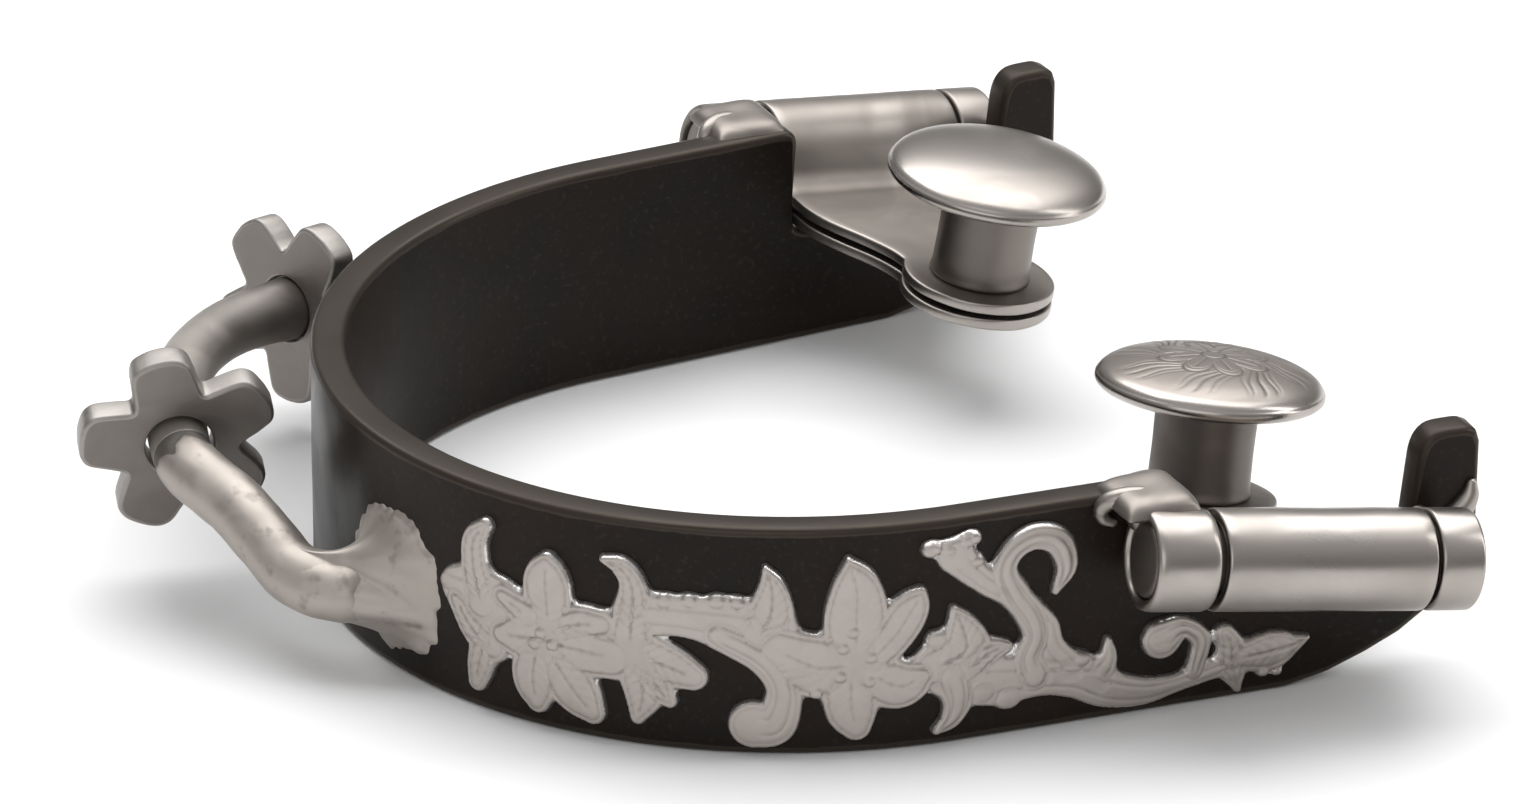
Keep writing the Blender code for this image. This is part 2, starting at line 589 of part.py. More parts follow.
def make_foot(side, way):
    """A flared foot between the band and the end of a leg, hollowed for the leg."""
    end, inwards = way[0], Vector(way[FOOT_AIM] - way[0]).normalized()
    normal = Vector(((end[0] - HEEL_CENTRE) / HEEL_LENGTH ** 2, end[1] / HEEL_HALF_WIDTH ** 2, 0))
    axis = (normal.normalized() + inwards).normalized()
    bm = bmesh.new()
    bmesh.ops.create_cone(bm, cap_ends=True, segments=24, radius1=FOOT_WIDTH / 2 * MM,
                          radius2=FOOT_NECK / 2 * MM, depth=FOOT_LENGTH * MM)
    for vert in bm.verts:
        if vert.co.z < 0:
            vert.co.y *= FOOT_TALL / FOOT_WIDTH
    mesh = bpy.data.meshes.new(f"{side}_bar_foot")
    bm.to_mesh(mesh)
    bm.free()
    across = Vector((0, 0, 1)).cross(axis).normalized()
    place = Matrix((across, axis.cross(across), axis)).transposed().to_4x4()
    place.translation = Vector(end) + axis * (FOOT_REACH - FOOT_LENGTH / 2)
    foot = add(f"{side}_bar_foot", mesh, place, "nickel_silver")
    boolean(foot, band_clearance())
    line = [Vector(end) - inwards * 4] + [Vector(p) for p in way[:160:20]]
    clearance = round_bar(f"{side}_leg_clearance", line, BAR_RADIUS + GAP)
    boolean(foot, add(f"{side}_leg_clearance", clearance, group=cutters))


def band_clearance():
    """Everything inside the band's outer face, and the gap outside it."""
    name = "band_clearance"
    if name in bpy.data.objects:
        return bpy.data.objects[name]
    outline = both_sides(band_line(BAND_THICKNESS + GAP))
    return add(name, plate(name, [outline], -5, 25), group=cutters)


# The floral overlay.

def stroke_outline(stroke):
    """The outline of a tapered stroke: its sides, and a round end at each end."""
    s = np.array(stroke, float)
    along = np.gradient(s[:, :2], axis=0)
    along /= np.linalg.norm(along, axis=1)[:, None]
    side = np.stack([-along[:, 1], along[:, 0]], axis=1) * s[:, 2:]
    left, right = s[:, :2] + side, s[:, :2] - side
    ends = []
    for k, way in ((-1, 1), (0, -1)):
        turns = np.linspace(math.pi / 2, -math.pi / 2, 5)[1:-1]
        tip = [s[k, :2] + s[k, 2] * (way * along[k] * math.cos(a)
                                     + way * np.array([-along[k, 1], along[k, 0]]) * math.sin(a))
               for a in turns]
        ends.append(np.array(tip))
    return np.vstack([left, ends[0], right[::-1], ends[1]])


def on_band(s, height, lift):
    """A point on the band's outer face: distance from the heel, height, and lift off it."""
    line = band_line(BAND_THICKNESS, 1.0)
    run = np.concatenate([[0], np.cumsum(np.linalg.norm(np.diff(line, axis=0), axis=1))])
    along = np.gradient(line, axis=0)
    along /= np.linalg.norm(along, axis=1)[:, None]
    x, y = np.interp(s, run, line[:, 0]), np.interp(s, run, line[:, 1])
    ax, ay = np.interp(s, run, along[:, 0]), np.interp(s, run, along[:, 1])
    return np.stack([x - ay * lift, -(y + ax * lift), height], axis=1)


def make_overlay():
    """One flat cut plate, joined from its strokes and bent round the band."""
    first, flat = None, bpy.data.collections.new("overlay_strokes")
    cutters.children.link(flat)
    for name, stroke in OVERLAY_STROKES.items():
        mesh = plate(name, [stroke_outline(stroke)], 0, OVERLAY_THICKNESS)
        group = flat if first else cutters
        item = add(name, mesh, group=group)
        hide_cutter(item)
        first = first or item
    union = first.modifiers.new("join strokes", "BOOLEAN")
    union.operation = "UNION"
    union.operand_type = "COLLECTION"
    union.collection = flat
    mesh = mesh_of(first)
    tidy_mesh(mesh)

    bm = bmesh.new()
    bm.from_mesh(mesh)
    reach = max(point[0] for stroke in OVERLAY_STROKES.values() for point in stroke)
    for s in np.arange(OVERLAY_CUT, reach, OVERLAY_CUT):
        parts = bm.verts[:] + bm.edges[:] + bm.faces[:]
        bmesh.ops.bisect_plane(bm, geom=parts, plane_co=(s * MM, 0, 0), plane_no=(1, 0, 0))
    bmesh.ops.triangulate(bm, faces=bm.faces)
    flat_at = np.array([v.co for v in bm.verts]) / MM
    bent = on_band(flat_at[:, 0], flat_at[:, 1], flat_at[:, 2] + GAP) * MM
    for vert, place in zip(bm.verts, bent):
        vert.co = place
    bmesh.ops.recalc_face_normals(bm, faces=bm.faces)
    bm.to_mesh(mesh)
    bm.free()
    overlay = add("floral_overlay", mesh, look="nickel_silver")
    smooth(overlay)


clear_scene()
spur = collection("spur")
cutters = collection("cutters")
make_band()
for spur_side in ("near", "far"):
    make_hanger(spur_side)
    make_hinge(spur_side)
centre_line = bar_way()
make_bar(centre_line)
make_rowels(centre_line)
make_overlay()
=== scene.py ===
# %% [markdown]
# # A Western spur with two swinging strap buttons
# The CAD model says where every piece is and how it moves. This notebook makes the looks
# around it: each piece again as a fine, closed skin, and each finish as a node material.
# All sizes below are in millimetres, and become metres only when a mesh is made.

# %% The frame
import json
import math

import bmesh
import bpy
import numpy as np
from mathutils import Matrix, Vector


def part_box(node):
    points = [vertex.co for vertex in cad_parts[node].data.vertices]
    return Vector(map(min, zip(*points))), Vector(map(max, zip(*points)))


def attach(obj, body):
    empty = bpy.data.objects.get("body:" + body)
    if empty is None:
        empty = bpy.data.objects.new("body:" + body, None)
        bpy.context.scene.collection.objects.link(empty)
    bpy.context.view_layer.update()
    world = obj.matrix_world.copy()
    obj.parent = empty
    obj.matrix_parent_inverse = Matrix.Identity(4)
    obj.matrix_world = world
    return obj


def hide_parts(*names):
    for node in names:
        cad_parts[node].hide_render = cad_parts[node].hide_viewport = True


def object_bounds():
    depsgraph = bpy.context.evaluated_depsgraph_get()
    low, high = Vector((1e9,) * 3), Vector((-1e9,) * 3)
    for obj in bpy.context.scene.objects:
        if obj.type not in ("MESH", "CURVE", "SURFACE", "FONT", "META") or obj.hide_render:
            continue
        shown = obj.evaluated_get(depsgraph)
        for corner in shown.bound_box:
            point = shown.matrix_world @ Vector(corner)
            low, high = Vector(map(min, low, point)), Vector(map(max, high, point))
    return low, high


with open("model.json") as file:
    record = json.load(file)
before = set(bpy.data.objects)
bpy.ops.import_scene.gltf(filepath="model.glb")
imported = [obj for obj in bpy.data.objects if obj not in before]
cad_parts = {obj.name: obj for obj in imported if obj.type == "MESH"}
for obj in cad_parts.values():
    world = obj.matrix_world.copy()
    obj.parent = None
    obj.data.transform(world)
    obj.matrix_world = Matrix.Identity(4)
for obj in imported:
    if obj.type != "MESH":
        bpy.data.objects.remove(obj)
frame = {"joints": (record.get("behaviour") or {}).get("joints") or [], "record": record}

MM = 0.001
cad_box = [list(corner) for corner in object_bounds()]
joints = {joint["name"]: joint for joint in frame["joints"]}
mounts = {mount["name"]: mount for mount in frame["record"]["mounts"]}
print("CAD box in mm:", [[round(c / MM, 1) for c in corner] for corner in cad_box])

# %% [markdown]
# ## Skins from grids
# Every piece is worked out as whole arrays of points: a grid with rows along the piece and
# columns across it. A patch keeps such a grid with its faces and with values for the
# finish, such as how close a point is to an edge. Patches that meet are welded, which is
# what closes seams and poles, and then each closed skin is turned to face outwards.

# %% Grids, lids and welded pieces
WELD = 2e-4  # points closer than this, in millimetres, become one
SHARP_ANGLE = math.radians(48)  # faces that meet more steeply than this are shaded apart


def unit(vectors):
    """Vectors divided by their own length."""
    return vectors / np.linalg.norm(vectors, axis=-1, keepdims=True)


def patch(points, closed=True, **layers):
    """A grid (rows, columns, 3) as a patch: one four-cornered face per cell, and the last
    column joined to the first where closed. Layers are values on the same grid."""
    rows, columns = points.shape[:2]
    across = columns if closed else columns - 1
    r, c = np.meshgrid(np.arange(rows - 1), np.arange(across), indexing="ij")
    a, b = r * columns + c, r * columns + (c + 1) % columns
    faces = np.stack([a, b, b + columns, a + columns], -1).reshape(-1, 4)
    flat = {key: np.broadcast_to(value, (rows, columns)).ravel() for key, value in layers.items()}
    return {"points": points.reshape(-1, 3), "faces": faces, "layers": flat}


def lid(ring, **layers):
    """A ring of points closed by triangles that meet in its own middle."""
    count = len(ring)
    k = np.arange(count)
    faces = np.stack([k, (k + 1) % count, np.full(count, count), np.full(count, -1)], 1)
    flat = {key: np.full(count + 1, float(value)) for key, value in layers.items()}
    return {"points": np.vstack([ring, ring.mean(0)]), "faces": faces, "layers": flat}


def shells(*groups):
    """The patches of several closed skins in one list, each marked with its skin's number."""
    return [dict(one, shell=number) for number, group in enumerate(groups) for one in group]


def joined(patches):
    """All points and faces of the patches, with equal points made one and faces that
    lost a corner by it turned into triangles, or dropped when two corners are left."""
    points = np.vstack([p["points"] for p in patches])
    starts = np.cumsum([0] + [len(p["points"]) for p in patches[:-1]])
    faces = np.vstack([np.where(p["faces"] < 0, -1, p["faces"] + k) for p, k in zip(patches, starts)])
    names = sorted({key for p in patches for key in p["layers"]})
    layers = {key: np.concatenate([p["layers"].get(key, np.zeros(len(p["points"]))) for p in patches])
              for key in names}
    _, first, index = np.unique(np.round(points / WELD).astype(np.int64), axis=0,
                                return_index=True, return_inverse=True)
    index = index.reshape(-1)
    faces = np.where(faces < 0, faces[:, :1], faces)
    faces = index[faces]
    repeated = faces == np.roll(faces, -1, axis=1)
    whole = repeated.sum(1) < 2
    faces = np.where(repeated, -1, faces)[whole]
    shell = np.concatenate([np.full(len(p["faces"]), p.get("shell", 0)) for p in patches])[whole]
    return points[first], faces, {key: value[first] for key, value in layers.items()}, shell


def make(name, patches, finish, body, nodes):
    """One finished piece: its patches welded, in metres, with its finish, and riding on its
    CAD body in place of the CAD nodes it stands for. A closed skin's volume is a third of
    the sum of each face's area times its height along its normal. Where that comes out
    negative the skin is inside out, and is turned round."""
    points, faces, layers, shell = joined(patches)
    mesh = bpy.data.meshes.new(name)
    mesh.vertices.add(len(points))
    mesh.vertices.foreach_set("co", (points * MM).astype(np.float32).ravel())
    corners = (faces >= 0).sum(1)
    mesh.loops.add(int(corners.sum()))
    mesh.loops.foreach_set("vertex_index", faces[faces >= 0].astype(np.int32))
    mesh.polygons.add(len(faces))
    mesh.polygons.foreach_set("loop_start", (np.cumsum(corners) - corners).astype(np.int32))
    mesh.update(calc_edges=True)
    for key, value in layers.items():
        layer = mesh.attributes.new(key, "FLOAT", "POINT")
        layer.data.foreach_set("value", value.astype(np.float32))
    bm = bmesh.new()
    bm.from_mesh(mesh)
    bmesh.ops.recalc_face_normals(bm, faces=bm.faces)
    open_edges = sum(not edge.is_manifold for edge in bm.edges)
    bm.to_mesh(mesh)
    measures = {key: np.empty(len(faces) * size, np.float32)
                for key, size in (("center", 3), ("normal", 3), ("area", 1))}
    for key, values in measures.items():
        mesh.polygons.foreach_get(key, values)
    height = (measures["center"] * measures["normal"]).reshape(-1, 3).sum(1)
    volumes = np.bincount(shell, weights=height * measures["area"] / 3)
    bm.faces.ensure_lookup_table()
    inside_out = np.flatnonzero(volumes[shell] < 0)
    bmesh.ops.reverse_faces(bm, faces=[bm.faces[k] for k in inside_out])
    bm.to_mesh(mesh)
    bm.free()
    mesh.shade_smooth()
    mesh.set_sharp_from_angle(angle=SHARP_ANGLE)
    mesh.materials.append(finish)
    piece = bpy.data.objects.new(name, mesh)
    bpy.context.scene.collection.objects.link(piece)
    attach(piece, body)
    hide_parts(*nodes)
    print(f"{name}: {int((corners - 2).sum())} triangles, {open_edges} open edges, "
          f"{np.abs(volumes).sum() / MM ** 3:.1f} mm3")


# %% [markdown]
# ## Curves and turned shapes
# Three kinds of shape cover most of a spur: a smooth line through a few points, a round
# bar carried along such a line, and a profile turned round an axis. Hand work is never
# quite even, so a small ripple made of a few sine waves goes on where a weld or a filed
# edge needs it. It has fixed phases, so it is the same at every run.

# %% Lines, ripples, bars and turned shapes
END_ROWS = 4  # rows of points that round each end of a bar


def smooth_way(points, spacing, measured=3):
    """Points at an even spacing along a Catmull-Rom curve: each span is a cubic whose end
    slopes are half the step between the neighbours. Only the first few columns, as many
    as measured says, count as distance."""
    p = np.array(points, float)
    p = np.vstack([2 * p[0] - p[1], p, 2 * p[-1] - p[-2]])
    t = np.linspace(0, 1, 24, endpoint=False)[:, None]
    spans = [0.5 * (2 * b + (c - a) * t + (2 * a - 5 * b + 4 * c - d) * t ** 2
                    + (3 * b - a - 3 * c + d) * t ** 3)
             for a, b, c, d in zip(p[:-3], p[1:-2], p[2:-1], p[3:])]
    fine = np.vstack(spans + [p[-2:-1]])
    run = np.concatenate([[0], np.cumsum(np.linalg.norm(np.diff(fine[:, :measured], axis=0), axis=1))])
    even = np.linspace(0, run[-1], max(2, round(run[-1] / spacing) + 1))
    return np.stack([np.interp(even, run, column) for column in fine.T], axis=1)


def ripple(x, y, size, seed):
    """Soft unevenness between about -1 and 1: five sine waves in fixed, unequal directions
    and phases, the longest one as long as size."""
    total = 0.0
    for k in range(5):
        turn, phase = 2.4 * k + seed, 1.7 * k * k + 3.1 * seed
        pitch = 2 * np.pi / size * (1 + 0.62 * k)
        total = total + np.sin(pitch * (x * np.cos(turn) + y * np.sin(turn)) + phase) / (1 + 0.5 * k)
    return total / 2.6


def bar(way, radius, columns=48, round_end=0.35):
    """A round bar: circles across a line, square to it, whose first axis is the level
    direction. The radius may vary by row and column. Both ends are rounded and closed."""
    along = unit(np.gradient(way, axis=0))
    level = unit(np.cross(along, (0.0, 0.0, 1.0)))
    above = np.cross(level, along)
    turn = np.linspace(0, 2 * np.pi, columns, endpoint=False)
    radius = np.broadcast_to(radius, (len(way), columns))
    ends = []
    for row, way_out in ((0, -1), (-1, 1)):
        fall = (np.linspace(0, np.pi / 2, END_ROWS + 1)[1:] if row
                else np.linspace(np.pi / 2, 0, END_ROWS + 1)[:-1])
        middle = way[row] + way_out * along[row] * round_end * np.sin(fall)[:, None]
        shrunk = radius[row] - round_end * (1 - np.cos(fall)[:, None])
        ends.append((middle, np.broadcast_to(level[row], middle.shape),
                     np.broadcast_to(above[row], middle.shape), shrunk))
    middle, level, above, radius = (np.vstack([first, whole, last]) for first, whole, last
                                    in zip(ends[0], (way, level, above, radius), ends[1]))
    spokes = level[:, None] * np.cos(turn)[None, :, None] + above[:, None] * np.sin(turn)[None, :, None]
    return middle[:, None] + radius[..., None] * spokes


def closed_bar(points, **layers):
    """A bar's rows with a lid on its first and last ring."""
    return [patch(points, **layers), lid(points[0]), lid(points[-1])]


def turned(profile, origin, axis, sideways, columns=96):
    """A profile of radius and height turned round an axis: each point of it becomes a
    circle at its height. Points with no radius weld into a pole."""
    profile = np.array(profile, float)
    turn = np.linspace(0, 2 * np.pi, columns, endpoint=False)
    other = np.cross(axis, sideways)
    spokes = sideways * np.cos(turn)[:, None] + other * np.sin(turn)[:, None]
    return origin + axis * profile[:, 1, None, None] + spokes * profile[:, 0, None, None]


def rounded_profile(corners, radius, steps=4):
    """A profile whose inner corners are cut by short curves: at each corner a quadratic
    curve starts and ends one radius away, or half a side away where that is less."""
    c = np.array(corners, float)
    out = [c[0]]
    t = np.linspace(0, 1, steps + 1)[:, None]
    for before, at, after in zip(c[:-2], c[1:-1], c[2:]):
        reach_in = min(radius, np.linalg.norm(before - at) / 2)
        reach_out = min(radius, np.linalg.norm(after - at) / 2)
        start, end = at + unit(before - at) * reach_in, at + unit(after - at) * reach_out
        out.extend((1 - t) ** 2 * start + 2 * t * (1 - t) * at + t ** 2 * end)
    return np.array(out + [c[-1]])


# %% [markdown]
# ## Where things are
# The heel band is half an ellipse with two straight arms that flare a little. Anything on
# its outer face is easiest to draw flat: a distance along the face from the heel, a height
# above the bottom edge, and a lift off the face. One function bends such flat points round
# the band. The hinges have axes of their own, which the record gives: the joint's axis is
# the pin, and the strap seat's axis is the way up from the leaf.

# %% Round the heel band
BAND_HEIGHT = 19.0
BAND_THICKNESS = 2.8
HEEL_LENGTH = 36.0
HEEL_HALF_WIDTH = 34.0
ARM_FLARE = 0.064
ARM_END = 77.2
HEEL_CENTRE = BAND_THICKNESS / 2 + HEEL_LENGTH


def outer_line():
    """Half of the outer face's plan: an ellipse moved out along its own normal by the
    thickness, up to where its slope is the arm's, then straight on past the arm's end."""
    last = math.atan(HEEL_HALF_WIDTH / (HEEL_LENGTH * ARM_FLARE))
    turn = np.linspace(0, last, 400)
    along = unit(np.stack([HEEL_LENGTH * np.sin(turn), HEEL_HALF_WIDTH * np.cos(turn)], 1))
    x = HEEL_CENTRE - HEEL_LENGTH * np.cos(turn) - along[:, 1] * BAND_THICKNESS
    y = HEEL_HALF_WIDTH * np.sin(turn) + along[:, 0] * BAND_THICKNESS
    reach = np.linspace(0, ARM_END + 4 - x[-1], 60)[1:] / along[-1, 0]
    line = np.vstack([np.stack([x, y], 1), [x[-1], y[-1]] + reach[:, None] * along[-1]])
    return line, np.vstack([along, np.repeat(along[-1:], len(reach), 0)])


SIDES = ("near", "far")  # near is the outer, decorated side
face_line, face_along = outer_line()
face_run = np.concatenate([[0], np.cumsum(np.linalg.norm(np.diff(face_line, axis=0), axis=1))])


def on_band(s, height, lift, side="near"):
    """Flat points bent round the band: the place on the face's plan at that distance, plus
    its outward normal times the lift, with the height as it is."""
    s, height, lift = np.broadcast_arrays(s, height, lift)
    x, y = (np.interp(np.abs(s), face_run, face_line[:, k]) for k in (0, 1))
    ax, ay = (np.interp(np.abs(s), face_run, face_along[:, k]) for k in (0, 1))
    hand = (-1 if side == "near" else 1) * np.where(s < 0, -1, 1)
    return np.stack([x - ay * lift, hand * (y + ax * lift), height], axis=-1)


def along_face(x):
    """The distance along the face at which an arm reaches this x."""
    return np.interp(x, face_line[:, 0], face_run)


_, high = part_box("heel_band")
print("heel band, CAD against this plan, half width:", round(high.y / MM, 2),
      round(float(np.interp(ARM_END, face_line[:, 0], face_line[:, 1])), 2))

# %% Round each hinge
BARREL_RADIUS = 3.96
STRIP = 0.9
LEAF_SPACE = 0.46
BARREL = (5.7, 22.95)  # from and to, along the pin
PAD_CENTRE = (23.0, 14.1)  # out from the pin, along it
NOTCH_OUT = 8.2  # how far out from the pin the leaf lies over the notch
PAD_RADIUS = 6.3


def hinge_axes(side):
    """Origin and the out, up and along directions of one hinge and its button."""
    joint, seat = joints[f"{side}_hanger_swing"], mounts[f"{side}_strap_seat"]
    hand = 1 if side == "near" else -1
    along = unit(np.array(joint["axis"])) * hand
    up = np.array(seat["axis"])
    up = unit(up - along * (up @ along))
    return np.array(joint["pos_m"]) / MM, np.cross(up, along) * hand, up, along


def at_hinge(side, out, up, along):
    """Points given out from the pin, up from it and along it, in the hinge's own axes."""
    origin, out_way, up_way, along_way = hinge_axes(side)
    out, up, along = (v[..., None] for v in np.broadcast_arrays(out, up, along))
    return origin + out_way * out + up_way * up + along_way * along


for side in SIDES:
    print(side, "pad centre:", at_hinge(side, PAD_CENTRE[0], 0.0, PAD_CENTRE[1]).round(2))

# %% [markdown]
# ## Shared effects
# Four finishes share the same few effects, so each effect is a node group that is built
# once: metal rubbed bright along its edges, which on the overlay is a painted highlight
# along its outline, the uneven gloss that handling leaves, and the fine tool marks and pits
# that only show as relief. The groups give out masks, values and normals alone; the shader
# itself stays in each material.

# %% A short way to add nodes
def add_node(tree, kind, inputs=None, **settings):
    """A node with its settings, and its inputs either linked from a socket or set."""
    made = tree.nodes.new(kind)
    for key, value in settings.items():
        setattr(made, key, value)
    for key, value in (inputs or {}).items():
        if isinstance(value, bpy.types.NodeSocket):
            tree.links.new(value, made.inputs[key])
        else:
            made.inputs[key].default_value = value
    return made


def math_node(tree, operation, a, b=0.0, clamp=False):
    """One sum on two values."""
    return add_node(tree, "ShaderNodeMath", {0: a, 1: b}, operation=operation,
                    use_clamp=clamp).outputs[0]


def ramp(tree, value, low, high, to_low=0.0, to_high=1.0):
    """Smoothly from one value to another while the input goes from low to high."""
    return add_node(tree, "ShaderNodeMapRange",
                    {"Value": value, "From Min": low, "From Max": high, "To Min": to_low, "To Max": to_high},
                    interpolation_type="SMOOTHSTEP").outputs[0]


def blend(tree, factor, a, b):
    """Colour a where the factor is 0 and b where it is 1."""
    return add_node(tree, "ShaderNodeMix", {0: factor, 6: a, 7: b}, data_type="RGBA").outputs[2]


def start_group(name, inputs, outputs):
    """An empty shader group with named sockets: its tree, its input node, its output node."""
    tree = bpy.data.node_groups.new(name, "ShaderNodeTree")
    for key, (kind, value) in inputs.items():
        socket = tree.interface.new_socket(key, in_out="INPUT", socket_type=kind)
        if value is not None:
            socket.default_value = value
    for key, kind in outputs.items():
        tree.interface.new_socket(key, in_out="OUTPUT", socket_type=kind)
    return tree, tree.nodes.new("NodeGroupInput"), tree.nodes.new("NodeGroupOutput")


def plug(tree, node, **sockets):
    """Links or sets a node's inputs by name, with _ for a space."""
    for key, value in sockets.items():
        socket = node.inputs[key.replace("_", " ")]
        if isinstance(value, bpy.types.NodeSocket):
            tree.links.new(value, socket)
        else:
            socket.default_value = value


def use_group(tree, group, **inputs):
    """A group placed in a material with its own values."""
    made = add_node(tree, "ShaderNodeGroup", node_tree=group)
    plug(tree, made, **inputs)
    return made


FLOAT, VECTOR = "NodeSocketFloat", "NodeSocketVector"

# %% Edge rubbing, and painted highlight
def make_edge_rub_and_highlight():
    """The edge value made ragged by noise, then turned into a mask: it starts where edge
    plus noise passes the threshold, and is full a fifth above it."""
    tree, given, out = start_group("edge rub and highlight", {
        "Place": (VECTOR, None), "Edge": (FLOAT, 0.0), "Threshold": (FLOAT, 0.6),
        "Raggedness": (FLOAT, 0.4), "Scale": (FLOAT, 900.0)}, {"Mask": FLOAT})
    noise = add_node(tree, "ShaderNodeTexNoise", {"Vector": given.outputs["Place"],
                     "Scale": given.outputs["Scale"], "Detail": 3.0, "Roughness": 0.6})
    centred = math_node(tree, "SUBTRACT", noise.outputs[0], 0.5)
    uneven = math_node(tree, "MULTIPLY", centred, given.outputs["Raggedness"])
    above = math_node(tree, "SUBTRACT", math_node(tree, "ADD", given.outputs["Edge"], uneven),
                      given.outputs["Threshold"])
    mask = math_node(tree, "MULTIPLY", above, 5.0, clamp=True)
    tree.links.new(mask, out.inputs["Mask"])
    return tree


edge_rub_and_highlight = make_edge_rub_and_highlight()
print("group:", edge_rub_and_highlight.name)

# %% Handling marks
def make_handling():
    """Two values from 0 to 1: broad smears, from slow noise that is stretched along the
    piece, and fine specks, from quick noise cut off high."""
    tree, given, out = start_group("handling marks", {
        "Place": (VECTOR, None), "Smear Scale": (FLOAT, 90.0), "Speck Scale": (FLOAT, 1400.0)},
        {"Smears": FLOAT, "Specks": FLOAT})
    smear = add_node(tree, "ShaderNodeTexNoise", {"Vector": given.outputs["Place"],
                     "Scale": given.outputs["Smear Scale"], "Detail": 4.0, "Distortion": 1.2})
    speck = add_node(tree, "ShaderNodeTexNoise", {"Vector": given.outputs["Place"],
                     "Scale": given.outputs["Speck Scale"], "Detail": 2.0})
    tree.links.new(ramp(tree, smear.outputs[0], 0.35, 0.68), out.inputs["Smears"])
    tree.links.new(ramp(tree, speck.outputs[0], 0.56, 0.72), out.inputs["Specks"])
    return tree


handling = make_handling()
print("group:", handling.name)

# %% Tool marks
def make_tool_marks():
    """A normal bumped by two heights: fine scratches, from noise squeezed across one
    direction, and shallow dents or pits, from cells."""
    tree, given, out = start_group("tool marks", {
        "Place": (VECTOR, None), "Scratches": (FLOAT, 0.3), "Scratch Scale": (FLOAT, 500.0),
        "Pits": (FLOAT, 0.3), "Pit Scale": (FLOAT, 900.0), "Depth": (FLOAT, 0.02)},
        {"Normal": VECTOR, "Pit Mask": FLOAT})
    squeezed = add_node(tree, "ShaderNodeMapping", {"Vector": given.outputs["Place"],
                        "Rotation": (0.3, 0.5, 0.35), "Scale": (0.12, 1.0, 1.0)})
    scratch = add_node(tree, "ShaderNodeTexNoise", {"Vector": squeezed.outputs[0],
                       "Scale": given.outputs["Scratch Scale"], "Detail": 3.0, "Roughness": 0.65})
    cell = add_node(tree, "ShaderNodeTexNoise", {"Vector": given.outputs["Place"],
                    "Scale": given.outputs["Pit Scale"], "Detail": 2.0, "Roughness": 0.5})
    pit = ramp(tree, cell.outputs[0], 0.58, 0.74)
    height = math_node(tree, "SUBTRACT",
                       math_node(tree, "MULTIPLY", scratch.outputs[0], given.outputs["Scratches"]),
                       math_node(tree, "MULTIPLY", pit, given.outputs["Pits"]))
    scaled = math_node(tree, "MULTIPLY", height, given.outputs["Depth"])
    bump = add_node(tree, "ShaderNodeBump", {"Height": scaled, "Strength": 1.0, "Distance": MM})
    tree.links.new(bump.outputs[0], out.inputs["Normal"])
    tree.links.new(pit, out.inputs["Pit Mask"])
    return tree


tool_marks = make_tool_marks()
print("group:", tool_marks.name)

# %% [markdown]
# ## The finishes
# The band is steel with a brown rust finish that was boiled nearly black and waxed: dark,
# a little glossy, and rubbed back to warm grey along its edges. The overlay and the braze
# are nickel silver, satin on top and darkened in every cut. The hinges, leaves and buttons
# are polished steel, and the bar and rowels are plain steel gone dull.

# %% Start a material
def start_material(name, preview):
    """A material with a Principled shader, and object coordinates for its patterns."""
    made = bpy.data.materials.new(name)
    made.use_nodes = True
    made.diffuse_color = (*preview, 1)
    tree = made.node_tree
    shader = tree.nodes["Principled BSDF"]
    place = add_node(tree, "ShaderNodeTexCoord").outputs["Object"]
    return made, tree, shader, place


def layer_value(tree, name):
    """A value that the piece's own points carry."""
    return add_node(tree, "ShaderNodeAttribute", attribute_name=name).outputs["Fac"]


# %% Browned steel
def browned_steel():
    """Near black brown with slow clouds of red and green brown, waxed gloss broken by
    handling, and grey steel where an edge is rubbed."""
    made, tree, shader, place = start_material("browned steel", (0.03, 0.024, 0.02))
    marks = use_group(tree, handling, Place=place, Smear_Scale=60.0, Speck_Scale=2200.0)
    rub_and_highlight = use_group(tree, edge_rub_and_highlight, Place=place, Edge=layer_value(tree, "edge"),
                    Threshold=0.62, Raggedness=0.7, Scale=420.0)
    relief = use_group(tree, tool_marks, Place=place, Scratches=0.5, Scratch_Scale=700.0,
                       Pits=0.35, Pit_Scale=1700.0, Depth=0.012)
    brown = blend(tree, marks.outputs["Smears"], (0.0075, 0.0054, 0.0037, 1), (0.0125, 0.0072, 0.0048, 1))
    specked = blend(tree, marks.outputs["Specks"], brown, (0.017, 0.0125, 0.0095, 1))
    colour = blend(tree, rub_and_highlight.outputs["Mask"], specked, (0.042, 0.034, 0.027, 1))
    metal = ramp(tree, rub_and_highlight.outputs["Mask"], 0.0, 1.0, 0.0, 0.5)
    gloss = ramp(tree, marks.outputs["Smears"], 0.0, 1.0, 0.30, 0.42)
    plug(tree, shader, Base_Color=colour, Metallic=metal, Roughness=gloss,
         Normal=relief.outputs["Normal"], Specular_IOR_Level=0.13)
    return made


